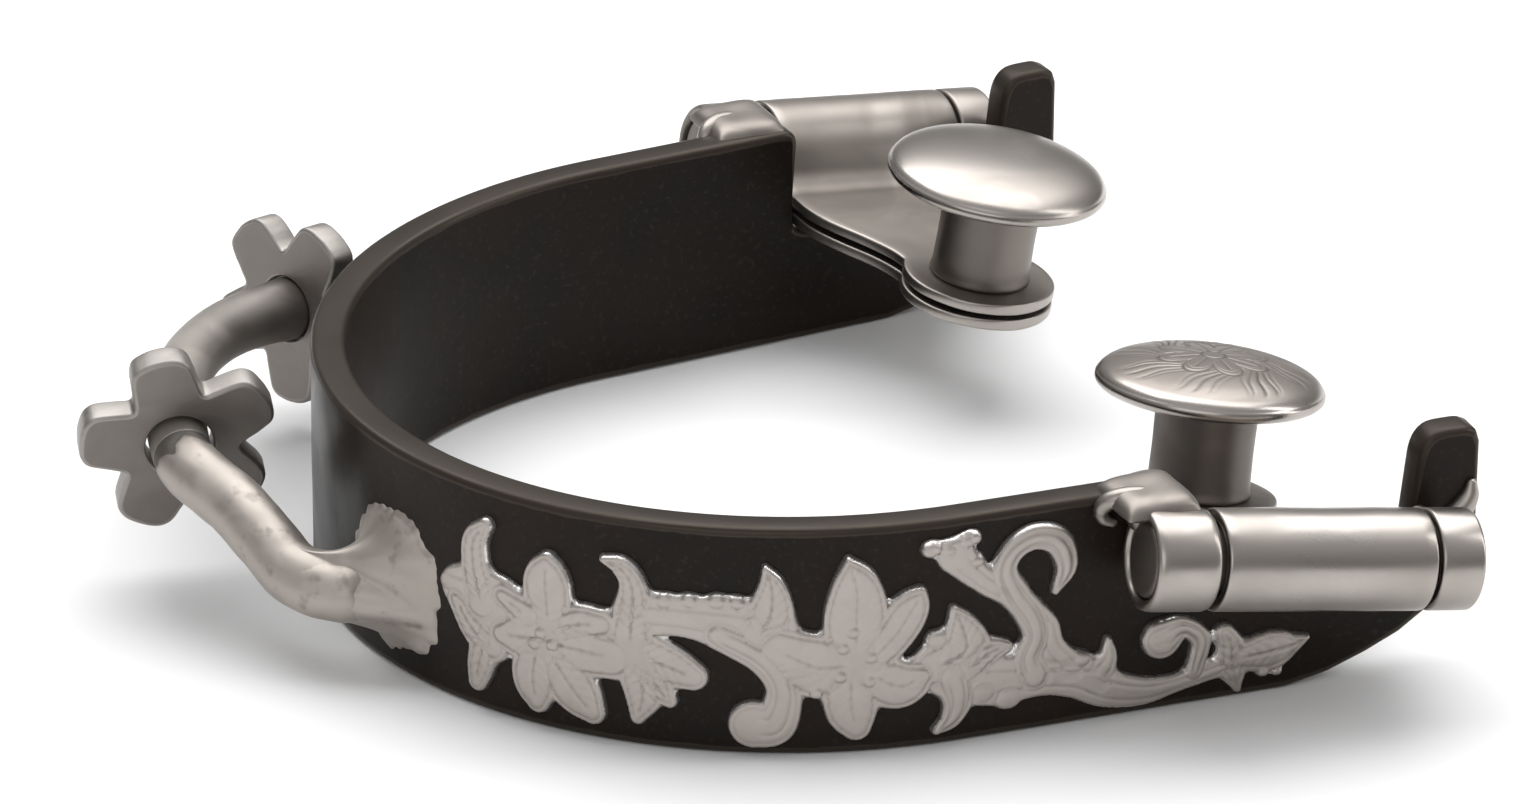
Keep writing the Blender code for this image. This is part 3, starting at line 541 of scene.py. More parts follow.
# %% Nickel silver
def nickel_silver():
    """Satin warm silver, darkened in its cuts where the groove value is high, and lighter
    where the edge value is: a painted highlight along the plate's outline."""
    made, tree, shader, place = start_material("nickel silver", (0.5, 0.46, 0.42))
    marks = use_group(tree, handling, Place=place, Smear_Scale=240.0, Speck_Scale=2600.0)
    rub_and_highlight = use_group(tree, edge_rub_and_highlight, Place=place, Edge=layer_value(tree, "edge"),
                    Threshold=0.42, Raggedness=0.35, Scale=700.0)
    relief = use_group(tree, tool_marks, Place=place, Scratches=0.7, Scratch_Scale=1500.0,
                       Pits=0.5, Pit_Scale=2400.0, Depth=0.016)
    dark = ramp(tree, layer_value(tree, "groove"), 0.1, 1.0, 0.0, 0.5)
    satin = blend(tree, marks.outputs["Smears"], (0.40, 0.362, 0.335, 1), (0.45, 0.412, 0.382, 1))
    # Lighter along the outline: a painted highlight on the plate's rims.
    bright = blend(tree, rub_and_highlight.outputs["Mask"], satin, (0.64, 0.62, 0.60, 1))
    colour = blend(tree, dark, bright, (0.21, 0.185, 0.165, 1))
    gloss = math_node(tree, "SUBTRACT", ramp(tree, marks.outputs["Smears"], 0.0, 1.0, 0.42, 0.50),
                      math_node(tree, "MULTIPLY", rub_and_highlight.outputs["Mask"], 0.20))
    plug(tree, shader, Base_Color=colour, Metallic=0.92, Roughness=gloss, Normal=relief.outputs["Normal"])
    return made


# %% Polished steel
def polished_steel():
    """Warm polished steel with long fine scratches, rougher and greyer where the dull value
    says that leather and fingers have worn it, and darker where the groove value is: patina
    in the cap's cuts. On the post and pin both values also lay painted shade."""
    made, tree, shader, place = start_material("polished steel", (0.6, 0.57, 0.54))
    marks = use_group(tree, handling, Place=place, Smear_Scale=70.0, Speck_Scale=1500.0)
    relief = use_group(tree, tool_marks, Place=place, Scratches=0.3, Scratch_Scale=900.0,
                       Pits=0.12, Pit_Scale=1300.0, Depth=0.004)
    # Darker where the groove value is high: patina in the cap's cuts, painted shade on the post and pin.
    dark = ramp(tree, layer_value(tree, "groove"), 0.12, 0.85, 0.0, 0.75)
    dull = layer_value(tree, "dull")
    clean = blend(tree, marks.outputs["Smears"], (0.43, 0.398, 0.37, 1), (0.37, 0.34, 0.312, 1))
    tarnish = blend(tree, marks.outputs["Smears"], (0.28, 0.252, 0.228, 1), (0.18, 0.16, 0.143, 1))
    colour = blend(tree, dark, blend(tree, dull, clean, tarnish), (0.12, 0.105, 0.095, 1))
    gloss = math_node(tree, "ADD", ramp(tree, marks.outputs["Smears"], 0.0, 1.0, 0.24, 0.32),
                      math_node(tree, "MULTIPLY", dull, 0.20))
    plug(tree, shader, Base_Color=colour, Metallic=1.0, Roughness=gloss, Normal=relief.outputs["Normal"])
    return made


# %% Dull grey steel
def grey_steel():
    """Oxidised steel with a fine even grain, lighter on rubbed edges and where the silver
    value is high, which on the middle bar is towards its near end."""
    made, tree, shader, place = start_material("grey steel", (0.22, 0.2, 0.185))
    marks = use_group(tree, handling, Place=place, Smear_Scale=150.0, Speck_Scale=1900.0)
    rub_and_highlight = use_group(tree, edge_rub_and_highlight, Place=place, Edge=layer_value(tree, "edge"),
                    Threshold=0.75, Raggedness=0.6, Scale=600.0)
    relief = use_group(tree, tool_marks, Place=place, Scratches=0.8, Scratch_Scale=1100.0,
                       Pits=0.5, Pit_Scale=1500.0, Depth=0.016)
    dull = blend(tree, marks.outputs["Smears"], (0.20, 0.18, 0.165, 1), (0.255, 0.235, 0.218, 1))
    plain = blend(tree, layer_value(tree, "silver"), dull, (0.46, 0.425, 0.39, 1))
    colour = blend(tree, rub_and_highlight.outputs["Mask"], plain, (0.30, 0.28, 0.262, 1))
    gloss = math_node(tree, "SUBTRACT", ramp(tree, marks.outputs["Smears"], 0.0, 1.0, 0.46, 0.56),
                      math_node(tree, "MULTIPLY", rub_and_highlight.outputs["Mask"], 0.05))
    plug(tree, shader, Base_Color=colour, Metallic=0.88, Roughness=gloss, Normal=relief.outputs["Normal"])
    return made


# %% Silver braze
def silver_braze():
    """Cast-looking silver: pitted where it has flowed over the band, and grey steel where
    the silver value says that it has run out."""
    made, tree, shader, place = start_material("silver braze", (0.5, 0.46, 0.43))
    marks = use_group(tree, handling, Place=place, Smear_Scale=200.0, Speck_Scale=1300.0)
    relief = use_group(tree, tool_marks, Place=place, Scratches=0.9, Scratch_Scale=600.0,
                       Pits=0.9, Pit_Scale=620.0, Depth=0.014)
    ragged = use_group(tree, edge_rub_and_highlight, Place=place, Edge=layer_value(tree, "silver"),
                       Threshold=0.4, Raggedness=0.25, Scale=900.0)
    satin = blend(tree, marks.outputs["Smears"], (0.37, 0.333, 0.302, 1), (0.43, 0.392, 0.358, 1))
    pitted = blend(tree, math_node(tree, "MULTIPLY", relief.outputs["Pit Mask"], 0.45), satin,
                   (0.16, 0.14, 0.125, 1))
    bare = blend(tree, marks.outputs["Smears"], (0.16, 0.148, 0.136, 1), (0.21, 0.195, 0.18, 1))
    colour = blend(tree, ragged.outputs["Mask"], bare, pitted)
    gloss = ramp(tree, marks.outputs["Smears"], 0.0, 1.0, 0.46, 0.58)
    plug(tree, shader, Base_Color=colour, Metallic=0.85, Roughness=gloss, Normal=relief.outputs["Normal"])
    return made


FINISHES = {"brown": browned_steel(), "silver": nickel_silver(), "polished": polished_steel(),
            "grey": grey_steel(), "braze": silver_braze()}
print("finishes:", [finish.name for finish in FINISHES.values()])

# %% [markdown]
# ## The heel band
# The band is one strip of steel, bent round the heel, with a notch sawn in each arm so
# that the hanger can fold flat. Seen from the side it has a top edge and a bottom edge
# that run in step, so each half of the band is a grid ruled between the two: down in the
# notch the grid is short, and at the tab in front it is tall. Rounded rims join the faces,
# as they would after a file and an emery cloth.

# %% The two edges of an arm
GAP = 0.3  # between a folded leaf and the notch's floor
EDGE_ROUND = 0.55
COLUMN_STEP = 0.45
BAND_ROWS = 31
SWELL = 0.05  # how far hammering has moved the faces
CALM_END = 4.0  # the front stretch over which the swell dies away, so that the rim joins
RUB_REACH = 0.3  # how far in from an edge the rubbing reaches
BOTTOM_CORNER = np.array([(0, 0), (61.5, 0), (65.0, 0.7), (68.2, 1.9), (71.0, 3.2), (73.4, 4.9),
                          (75.3, 7.2), (76.7, 9.8), (ARM_END, 12.2)])


def edge_pairs(side):
    """Matching points of the top edge and the bottom edge, each as distance along the face
    and height: straight runs between corners, divided evenly, and softened twice."""
    rear, front = (at_hinge(side, NOTCH_OUT, -BARREL_RADIUS, a)[2] - GAP for a in BARREL)
    corners = np.array([
        (0.0, BAND_HEIGHT, 0.0), (51.9, BAND_HEIGHT, 51.7), (52.5, 18.8, 52.0), (52.8, 18.2, 52.2),
        (52.3, rear + 1.0, 52.8), (52.5, rear + 0.2, 53.3), (53.2, rear, 53.9),
        (70.3, front, 67.2), (70.75, front + 0.3, 68.0), (71.0, front + 1.2, 68.6), (72.1, 18.2, 70.4),
        (72.5, 19.2, 71.0), (73.3, 19.9, 71.8), (74.2, 20.0, 72.8), (76.0, 20.0, 74.8),
        (76.9, 19.6, 76.2), (ARM_END, 18.6, ARM_END)])
    top = np.stack([along_face(corners[:, 0]), corners[:, 1]], 1)
    bottom = np.stack([along_face(corners[:, 2]), np.interp(corners[:, 2], *BOTTOM_CORNER.T)], 1)
    top[0, 0] = bottom[0, 0] = 0.0
    both = np.hstack([top, bottom])
    step = np.maximum(np.linalg.norm(np.diff(top, axis=0), axis=1),
                      np.linalg.norm(np.diff(bottom, axis=0), axis=1))
    key = np.concatenate([[0], np.cumsum(step)])
    even = np.linspace(0, key[-1], round(key[-1] / COLUMN_STEP))
    both = np.stack([np.interp(even, key, column) for column in both.T], 1)
    for _ in range(2):
        both[1:-1] = (both[:-2] + 2 * both[1:-1] + both[2:]) / 4
    x = np.interp(both[:, 2], face_run, face_line[:, 0])
    both[:, 3] = np.interp(x, *BOTTOM_CORNER.T)
    return both[:, :2], both[:, 2:]


def inward(edge, turn):
    """The in-plane normal of an edge that points into the steel: its direction turned a
    quarter turn, clockwise for the top edge and anticlockwise for the bottom edge."""
    along = unit(np.gradient(edge, axis=0))
    return np.stack([along[:, 1], -along[:, 0]], 1) * turn


print("near arm, highest and lowest of the top edge:", edge_pairs("near")[0][:, 1].max().round(2),
      edge_pairs("near")[0][40:, 1].min().round(2))


# %% Half of the band
def rim_profile(steps=5):
    """How far in from the edge and how deep below the outer face a rim runs: a quarter
    circle, a flat, and a quarter circle again."""
    turn = np.linspace(0, np.pi / 2, steps)
    inset = np.concatenate([1 - np.sin(turn), 1 - np.cos(turn)])
    depth = np.concatenate([EDGE_ROUND * (1 - np.cos(turn)),
                            BAND_THICKNESS - EDGE_ROUND * (1 - np.sin(turn))])
    return inset * EDGE_ROUND, depth


def half_band(side):
    """The faces, rims and front end of one half. A face point is ruled between the top and
    bottom edges, both moved in by the rounding; its edge value falls off with distance. A
    slow swell leaves the faces a little uneven."""
    top, bottom = edge_pairs(side)
    top_in, bottom_in = inward(top, 1), inward(bottom, -1)
    top_in[-1] = bottom_in[-1] = (-1, 0)
    top_face, bottom_face = top + top_in * EDGE_ROUND, bottom + bottom_in * EDGE_ROUND
    share = 0.5 - 0.5 * np.cos(np.linspace(0, np.pi, BAND_ROWS))
    ruled = bottom_face[:, None] + (top_face - bottom_face)[:, None] * share[None, :, None]
    reach = np.linalg.norm(top_face - bottom_face, axis=1)[:, None]
    near_edge = np.exp(-np.minimum(share, 1 - share)[None] * reach / RUB_REACH)
    fade = np.clip((top[-1, 0] - top[:, :1]) / CALM_END, 0, 1)
    swell = SWELL * fade * ripple(ruled[..., 0], ruled[..., 1], 17.0, 2.0) * np.sin(np.pi * share)[None]
    skins = [patch(on_band(ruled[..., 0], ruled[..., 1], lift + swell, side), closed=False, edge=near_edge)
             for lift in (0.0, -BAND_THICKNESS)]
    inset, depth = rim_profile()
    for edge, way_in in ((top, top_in), (bottom, bottom_in)):
        at = edge[:, None] + way_in[:, None] * inset[None, :, None]
        skins.append(patch(on_band(at[..., 0], at[..., 1], -depth[None], side), closed=False, edge=1.0))
    front = ruled[-1][:, None] + np.array([EDGE_ROUND, 0]) - np.stack([inset, 0 * inset], 1)[None]
    skins.append(patch(on_band(front[..., 0], front[..., 1], -depth[None], side), closed=False, edge=1.0))
    return skins


make("heel_band_steel", half_band("near") + half_band("far"), FINISHES["brown"], "frame",
     ["heel_band"])

# %% [markdown]
# ## The hinges
# Each arm carries a hinge: two short knuckles brazed to the steel, a pin through them, and
# the hanger's own barrel between. The knuckles are turned rings. The rear one is held by a
# saddle of silver over the band's top edge, whose hot end ran down the outer face in a
# little hook, and the front one by a fillet against the tab. Both are soft lumps that run
# into the ring, so each is its own closed skin in the same piece.

# %% Knuckles, saddles and pins
BORE = 3.06
PIN_RADIUS = 2.76
PEEN_RADIUS = 3.01
PIN = [(0, 26.8), (2.7, 26.75), (PEEN_RADIUS, 26.4), (PIN_RADIUS, 25.8),
       (PIN_RADIUS, 1.1), (PEEN_RADIUS, 0.5), (2.7, 0.15), (0, 0.1)]  # radius, place along
BARREL_WEAR = {"near": 0.15, "far": 0.8}  # how dull leather and hands have left each side
KNUCKLES = {"rear": (0.0, 5.2, 0.75), "front": (23.3, 26.9, 0.32)}  # from, to, rounding
BRAZE_STEP = 0.12

# Lines of braze in x, y, z, given for the far side: the saddle's hook and its root under
# the rear ring, and the fillet between the front ring and the tab.
HOOK = [(50.4, 38.9, 18.1), (48.7, 38.9, 19.0), (47.2, 38.7, 19.2), (46.1, 38.2, 18.9),
        (45.6, 37.8, 18.1), (45.8, 37.75, 17.3), (46.5, 37.9, 16.9)]
HOOK_TAPER = ([0, 0.5, 0.8, 1], [0.95, 0.80, 0.62, 0.42])  # share of the way, radius
ROOT = [(48.0, 38.9, 17.4), (49.6, 38.9, 17.6), (51.4, 39.0, 17.2)]
FILLET = [(71.8, 39.75, 13.6), (72.3, 39.6, 12.2), (72.6, 39.6, 10.4), (72.7, 39.75, 8.6)]
# The run of braze on each tab's front corner: along the arm, height, thickness.
TAB_WELD = [(74.4, 12.6, 0.7), (75.6, 13.2, 0.95), (76.3, 14.2, 0.8), (76.5, 15.3, 0.45)]


def ring_profile(inner, outer, low, high, edge):
    """A ring's section: up the bore, out over one end, down the outside, and back."""
    middle = (low + high) / 2
    return rounded_profile([(inner, middle), (inner, high), (outer, high), (outer, low),
                            (inner, low), (inner, middle)], edge)


def pillow(centre, half, low, high, power=4.0, rows=40, seed=1.0):
    """A soft lump over a rectangle: its height is highest in the middle and falls to
    nothing at the sides as one minus the sideways share to a power, and its sides waver.
    A matching lower face closes it."""
    u, v = np.meshgrid(np.linspace(-1, 1, rows), np.linspace(-1, 1, rows), indexing="ij")
    waver = 1 + 0.05 * ripple(u, v, 2.6, seed)
    swell = ((1 - np.abs(u) ** power) * (1 - np.abs(v) ** power)) ** 0.6
    x, y = centre[0] + half[0] * u * waver, centre[1] + half[1] * v * waver
    top = low + (high - low) * swell * (1 + 0.05 * ripple(u, v, 2.4, seed + 2))
    under = low - (high - low) * 0.5 * swell
    return [patch(np.stack([x, y, z], -1), closed=False, dull=0.8) for z in (top, under)]


def braze_line(places, hand, spacing=BRAZE_STEP):
    """A smooth line through places given for the far side, on the side of this hand."""
    return smooth_way(np.array(places) * (1, hand, 1), spacing)


def saddle(hand):
    """The rear knuckle's braze: a pillow over the band's edge, its tapering hook, and the
    uneven root under the ring."""
    hook = braze_line(HOOK, hand)
    taper = np.interp(np.linspace(0, 1, len(hook)), *HOOK_TAPER)[:, None]
    root = braze_line(ROOT, hand, 0.15)
    swollen = 1.05 + 0.1 * ripple(root[:, :1], root[:, 2:], 3.6, 5.0)
    return [pillow((49.0, hand * 38.7), (3.1, 3.3), 18.7, 19.95, power=5.0, seed=3.0),
            closed_bar(bar(hook, taper, 28, 0.4), dull=0.5),
            closed_bar(bar(root, swollen, 28, 0.6), dull=0.8)]


def front_fillet(side, hand):
    """The front knuckle's braze: an uneven fillet down the tab, and a run of braze that
    thins out round the tab's front corner."""
    fillet = braze_line(FILLET, hand)
    turn = np.linspace(0, 2 * np.pi, 32, endpoint=False)
    fat = 0.85 + 0.14 * ripple(fillet[:, 2:], 0.8 * np.cos(turn)[None], 2.6, 4.0)
    x, z, thick = smooth_way(TAB_WELD, BRAZE_STEP, measured=2).T
    run = on_band(along_face(x), z, 0.1, side)
    return [closed_bar(bar(fillet, fat, 32, 0.5), dull=0.8),
            closed_bar(bar(run, thick[:, None], 28, 0.35), dull=0.5)]


def make_hinge(side):
    """The two knuckles and the pin of one side."""
    origin, out_way, _, along_way = hinge_axes(side)
    hand = -1 if side == "near" else 1
    for which, (low, high, rounding) in KNUCKLES.items():
        section = ring_profile(BORE, BARREL_RADIUS, low, high, rounding)
        ring = patch(turned(section, origin, along_way, out_way), dull=BARREL_WEAR[side])
        braze = saddle(hand) if which == "rear" else front_fillet(side, hand)
        make(f"{side}_{which}_knuckle_ring", shells([ring], *braze), FINISHES["polished"], "frame",
             [f"{side}_{which}_knuckle"])
    pin = turned(rounded_profile(PIN, 0.3), origin, along_way, out_way, 64)
    # The pin's dull and groove values darken it: painted shade on its ends, which lie in shadow.
    make(f"{side}_pin", [patch(pin, dull=1.0, groove=0.5)], FINISHES["polished"], "frame",
         [f"{side}_hinge_pin"])


for side in SIDES:
    make_hinge(side)

# %% [markdown]
# ## The hangers
# A hanger is one strip of steel folded round the pin, so that it has a barrel at one end
# and two leaves riveted together at the other. The strip's middle line is drawn once, in
# the plane across the pin. At each point of it the section is a rounded rectangle as wide
# as the plan is there: full width on the barrel, drawn in at the neck, and a circle at the
# pad, where the width shrinks to nothing at both tips.

# %% The folded strip
SHOULDER_END = 8.0
NECK_HALF = 5.0
LEAF_ROWS = 110
STRIP_CORNER = 0.22
WEAR_FROM, WEAR_RUN = 3.6, 2.5  # where the leaf's dullness starts, and how soon it is full


def strip_line():
    """The strip's middle line from the lower leaf's tip, round the pin, to the upper leaf's
    tip, as out and up. Steps shorten towards the tips so that the pad ends round."""
    radius = BARREL_RADIUS - STRIP / 2
    upper = -radius + STRIP + LEAF_SPACE
    tip = PAD_CENTRE[0] + PAD_RADIUS
    inward_reach = np.sin(np.linspace(np.pi / 2, 0, LEAF_ROWS))[:-1]
    lower = np.stack([tip * inward_reach, np.full(len(inward_reach), -radius)], 1)
    turn = np.radians(np.linspace(-90, -345, 110))
    barrel = radius * np.stack([np.cos(turn), np.sin(turn)], 1)
    bend, lean = 2.5, math.radians(15)
    fall = radius * math.sin(lean) - upper - bend * (1 - math.sin(lean))
    start = radius * math.cos(lean) + fall * math.tan(lean)
    turn = np.linspace(lean, np.pi / 2, 24)
    foot = np.stack([start + bend * (math.cos(lean) - np.cos(turn)),
                     upper + bend * (1 - np.sin(turn))], 1)
    reach = np.sin(np.linspace(0, np.pi / 2, LEAF_ROWS))[1:]
    leaf = np.stack([foot[-1, 0] + (tip - foot[-1, 0]) * reach, np.full(len(reach), upper)], 1)
    return np.vstack([lower, barrel, foot, leaf])


def half_widths(out):
    """How far the strip reaches to the rear and to the front of the pad's middle: full at
    the barrel, drawn in along a cosine to the neck, then the pad's circle."""
    neck_end = PAD_CENTRE[0] - math.sqrt(PAD_RADIUS ** 2 - NECK_HALF ** 2)
    draw = 0.5 - 0.5 * np.cos(np.pi * np.clip((out - SHOULDER_END) / (neck_end - SHOULDER_END), 0, 1))
    circle = np.sqrt(np.maximum(PAD_RADIUS ** 2 - (out - PAD_CENTRE[0]) ** 2, 0))
    rear, front = PAD_CENTRE[1] - BARREL[0], BARREL[1] - PAD_CENTRE[1]
    return [np.where(out > neck_end, circle, wide + (NECK_HALF - wide) * draw) for wide in (rear, front)]


def strip_section(across=22, corner=4):
    """A rounded rectangle walked once round: the share of the half width and of the half
    thickness for its flats, and the same for its corner arcs."""
    turn = np.linspace(0, np.pi / 2, corner)
    flat = np.linspace(-1, 1, across)[1:-1]
    e, f, ce, cf = [], [], [], []
    for sx, sy, start in ((1, 1, 0), (-1, 1, 1), (-1, -1, 2), (1, -1, 3)):
        angle = turn + start * np.pi / 2
        e += [sx] * corner
        f += [sy] * corner
        ce += list(np.cos(angle))
        cf += list(np.sin(angle))
        if start in (0, 2):
            e += list(flat[::-1] if start == 0 else flat)
            f += [sy] * len(flat)
            ce += [0] * len(flat)
            cf += [sy] * len(flat)
    return (np.array(part, float) for part in (e, f, ce, cf))


def make_hanger(side):
    """The strip's line, given its section at each point, in the hinge's axes. It is dull on
    the leaves and less so on the barrel and along its rubbed edges."""
    line = strip_line()
    along_line = unit(np.gradient(line, axis=0))
    normal = np.stack([-along_line[:, 1], along_line[:, 0]], 1)
    rear, front = half_widths(line[:, 0])
    e, f, ce, cf = strip_section()
    half = np.where(e[None] < 0, rear[:, None], front[:, None])
    corner = np.minimum(STRIP_CORNER, half)
    across = (half - corner) * e + corner * ce
    thick = (STRIP / 2 - corner) * f + corner * cf
    hollow = 0.03 * ripple(line[:, :1], across, 9.0, 1.5)
    out = line[:, :1] + normal[:, :1] * (thick + hollow)
    up = line[:, 1:] + normal[:, 1:] * (thick + hollow)
    points = at_hinge(side, out, up, PAD_CENTRE[1] + across)
    rubbed = np.exp(-np.maximum(half - np.abs(across), 0) / 0.25)
    leaf_share = np.clip((line[:, :1] - WEAR_FROM) / WEAR_RUN, 0, 1)
    worn = BARREL_WEAR[side] + (1 - BARREL_WEAR[side]) * leaf_share
    worn = worn * (1 - 0.6 * rubbed)
    make(f"{side}_hanger_strip", [patch(points, dull=worn)], FINISHES["polished"],
         f"{side}_hanger_body", [f"{side}_hanger"])


for side in SIDES:
    make_hanger(side)

# %% [markdown]
# ## The buttons
# A strap's slot passes over the domed cap and closes round the post. The post is turned
# with a tenon that goes through both leaves and is peened over underneath. The cap is a
# shallow dome with a polished rim. The outer one is engraved with a small rosette: a boss,
# eight petals round it, and scrolls that sweep out to the rim. The cuts are worked out from
# radius and angle and taken off the dome's height, so they are real grooves.

# %% Posts and caps
POST_RADIUS = 4.05
# The post's radius and height, from inside the cap down through both leaves to its tail.
POST = [(0, 6.5), (POST_RADIUS + 0.3, 6.5), (POST_RADIUS + 0.02, 5.7), (POST_RADIUS - 0.05, 2.0),
        (POST_RADIUS, -1.0), (POST_RADIUS + 0.2, -1.72), (2.0, -1.75), (2.0, -3.95),
        (3.3, -3.97), (3.1, -4.5), (2.0, -4.8), (0, -4.9)]
CAP_RADIUS = 9.1
CAP_UNDERSIDE = 6.3
CAP_TOP = 9.5
CAP_SHOULDER = 7.2
CUT_DEPTH = 0.075
CAP_WEAR = {"near": 0.75, "far": 0.3}


def rosette(r, turn):
    """Depth of the engraving, 0 to 1, from lines that a graver would follow: a circle round
    the boss, eight double petal outlines with a middle vein, and eight scrolls that lean as
    they go out. Each line is a narrow bell curve of the distance from it."""
    def line(distance, width=0.13):
        """A bell curve of the distance from a cut's middle."""
        return np.exp(-(distance / width) ** 2)
    petal = 2.3 + 2.3 * np.abs(np.cos(4 * turn)) ** 0.6
    vein = r * np.sin(((4 * turn / np.pi + 0.5) % 1 - 0.5) * np.pi / 4)
    cuts = line(r - 0.95) + 0.9 * line(r - petal, 0.17) + 0.6 * line(vein) * (r > 1.2) * (r < petal - 0.9)
    cuts = cuts + 0.5 * line(r - petal + 0.55, 0.11) * (r > 1.6)
    sweep = turn + 0.9 * np.log(np.maximum(r, 0.1) / 3.6) + 0.10 * np.sin((r - 3.6) * 1.1)
    offset = r * ((8 * sweep / (2 * np.pi) + 0.5) % 1 - 0.5) * 2 * np.pi / 8
    fade = np.clip((r - petal - 0.1) / 0.4, 0, 1) * np.clip((8.1 - r) / 0.7, 0, 1)
    scroll = line(offset, 0.15) + 0.8 * line(np.abs(offset) - 0.65 - 0.14 * (r - 4), 0.12)
    cuts = cuts + fade * (scroll + 0.5 * line(np.abs(offset) - 1.5, 0.11))
    return np.clip(cuts, 0, 1)


def make_button(side):
    """The post with its peened tail, and the cap; the near cap is engraved."""
    _, out_way, up_way, _ = hinge_axes(side)
    foot = at_hinge(side, PAD_CENTRE[0], 0.0, PAD_CENTRE[1])
    post = turned(rounded_profile(POST, 0.5), foot, up_way, out_way, 80)
    # The post's dull and groove values darken it: painted shade under the cap.
    make(f"{side}_post_turned", [patch(post, dull=0.9, groove=0.6)],
         FINISHES["polished"], f"{side}_hanger_body", [f"{side}_button_post"])

    fall = np.radians(np.linspace(0, 84, 110 if side == "near" else 40))
    dome = np.stack([CAP_RADIUS * 0.985 * np.sin(fall),
                     CAP_SHOULDER + (CAP_TOP - CAP_SHOULDER) * np.cos(fall)], 1)
    rim = rounded_profile([dome[-1], (CAP_RADIUS - 0.02, 7.25), (CAP_RADIUS, 6.75),
                           (CAP_RADIUS - 0.55, CAP_UNDERSIDE), (5.5, CAP_UNDERSIDE), (0, CAP_UNDERSIDE)], 0.3)
    profile = np.vstack([dome[:-1], rim])
    columns = 300 if side == "near" else 120
    points = turned(profile, foot, up_way, out_way, columns)
    turn = np.linspace(0, 2 * np.pi, columns, endpoint=False)
    on_top = (np.arange(len(profile)) < len(dome))[:, None]
    cuts = rosette(profile[:, :1], turn[None]) * on_top if side == "near" else np.zeros(points.shape[:2])
    points = points - up_way * (CUT_DEPTH * cuts)[..., None]
    inside_rim = np.clip((CAP_RADIUS - 0.5 - profile[:, :1]) / 0.4, 0, 1)
    worn = np.where(on_top, CAP_WEAR[side], 0.0) * inside_rim
    make(f"{side}_cap_domed", [patch(points, groove=cuts * 0.8, dull=worn)], FINISHES["polished"],
         f"{side}_hanger_body", [f"{side}_button_cap"])


for side in SIDES:
    make_button(side)

# %% [markdown]
# ## The bumper bar
# A round bar arches out behind the heel and carries both rowels, so that it jingles and
# bumps rather than pricks. Its middle is plain steel. Each leg was dipped in silver when
# it was brazed: the silver is a skin that ends raggedly just outside the rowel. That edge
# is drawn by one formula, which both thickens the bar and says where the finish changes.

# %% The bar and its legs
BAR_RADIUS = 2.38
BAR_COLUMNS = 64
NEAR_ROWEL_AT = np.array(joints["near_rowel_spin"]["pos_m"]) / MM
FAR_ROWEL_AT = np.array(joints["far_rowel_spin"]["pos_m"]) / MM
NEAR_LEG_WAY = [(-2.6, -7.7, 7.0), (-4.3, -6.6, 6.7), (-6.6, -3.9, 7.1), (-7.8, -0.3, 8.7),
                (-8.9, 3.6, 10.3), (-10.8, 8.2, 11.8)]
MIDDLE_WAY = [(-8.8, 16.6, 13.1), (-6.4, 21.9, 13.0), (-2.9, 27.5, 12.3), (2.0, 32.6, 11.4)]
FAR_LEG_WAY = [(12.6, 37.3, 10.3), (16.0, 38.2, 9.7), (19.4, 38.8, 8.8), (22.7, 38.9, 7.6),
               (25.4, 38.3, 7.2), (26.9, 37.3, 7.1)]
LEG_JOIN = 2.6  # how far from a rowel's middle the leg ends
LEG_RUN_IN = 2.7  # how far a leg goes on inside its foot and the band
WAY_STEP = 0.15
whole_way = smooth_way(NEAR_LEG_WAY + [tuple(NEAR_ROWEL_AT)] + MIDDLE_WAY + [tuple(FAR_ROWEL_AT)]
                       + FAR_LEG_WAY, WAY_STEP)
join_steps = round(LEG_JOIN / WAY_STEP)


def nearest(place):
    """The row of the bar's line that is closest to a place."""
    return int(np.argmin(np.linalg.norm(whole_way - place, axis=1)))


def make_leg(side, way):
    """One leg, from inside the band to the joint by the rowel. The silver reaches to a
    ragged line round the bar; beyond it the bar is bare and a little thinner. Inside the
    foot the leg draws in smoothly, so that it stays hidden there."""
    run_in = np.arange(round(LEG_RUN_IN / WAY_STEP), 0, -1)[:, None] * WAY_STEP
    way = np.vstack([way[0] - run_in * unit(way[3] - way[0]), way])
    left = (len(way) - 1 - np.arange(len(way)))[:, None] * WAY_STEP
    turn = np.linspace(0, 2 * np.pi, BAR_COLUMNS, endpoint=False)[None]
    reach = 1.5 + 0.9 * ripple(2.4 * np.cos(turn), 2.4 * np.sin(turn), 3.4, 0.7)
    silver = np.clip((left - reach) / 0.35 + 0.5, 0, 1)
    lumps = 0.06 * ripple(left, 2.4 * np.cos(turn), 7.0, 2.2) * np.clip(left / 4, 0, 1)
    sink = np.clip((left - left.max() + LEG_RUN_IN + 1.2) / (LEG_RUN_IN + 1.2), 0, 1)
    sink = 1.75 * sink * sink * (3 - 2 * sink)
    points = bar(way, BAR_RADIUS - 0.04 + 0.12 * silver + lumps - sink, BAR_COLUMNS)
    silver = np.pad(silver, ((END_ROWS, END_ROWS), (0, 0)), mode="edge")
    make(f"{side}_leg_bar", closed_bar(points, silver=silver), FINISHES["braze"], "frame",
         [f"{side}_bar_leg"])


near_stop, far_stop = nearest(NEAR_ROWEL_AT), nearest(FAR_ROWEL_AT)
middle_way = whole_way[near_stop - join_steps:far_stop + join_steps + 1]
share = np.linspace(0, 1, len(middle_way))
flare = 0.16 * np.exp(-((share - 0.9) / 0.05) ** 2) + 0.05 * np.sin(share * 9)
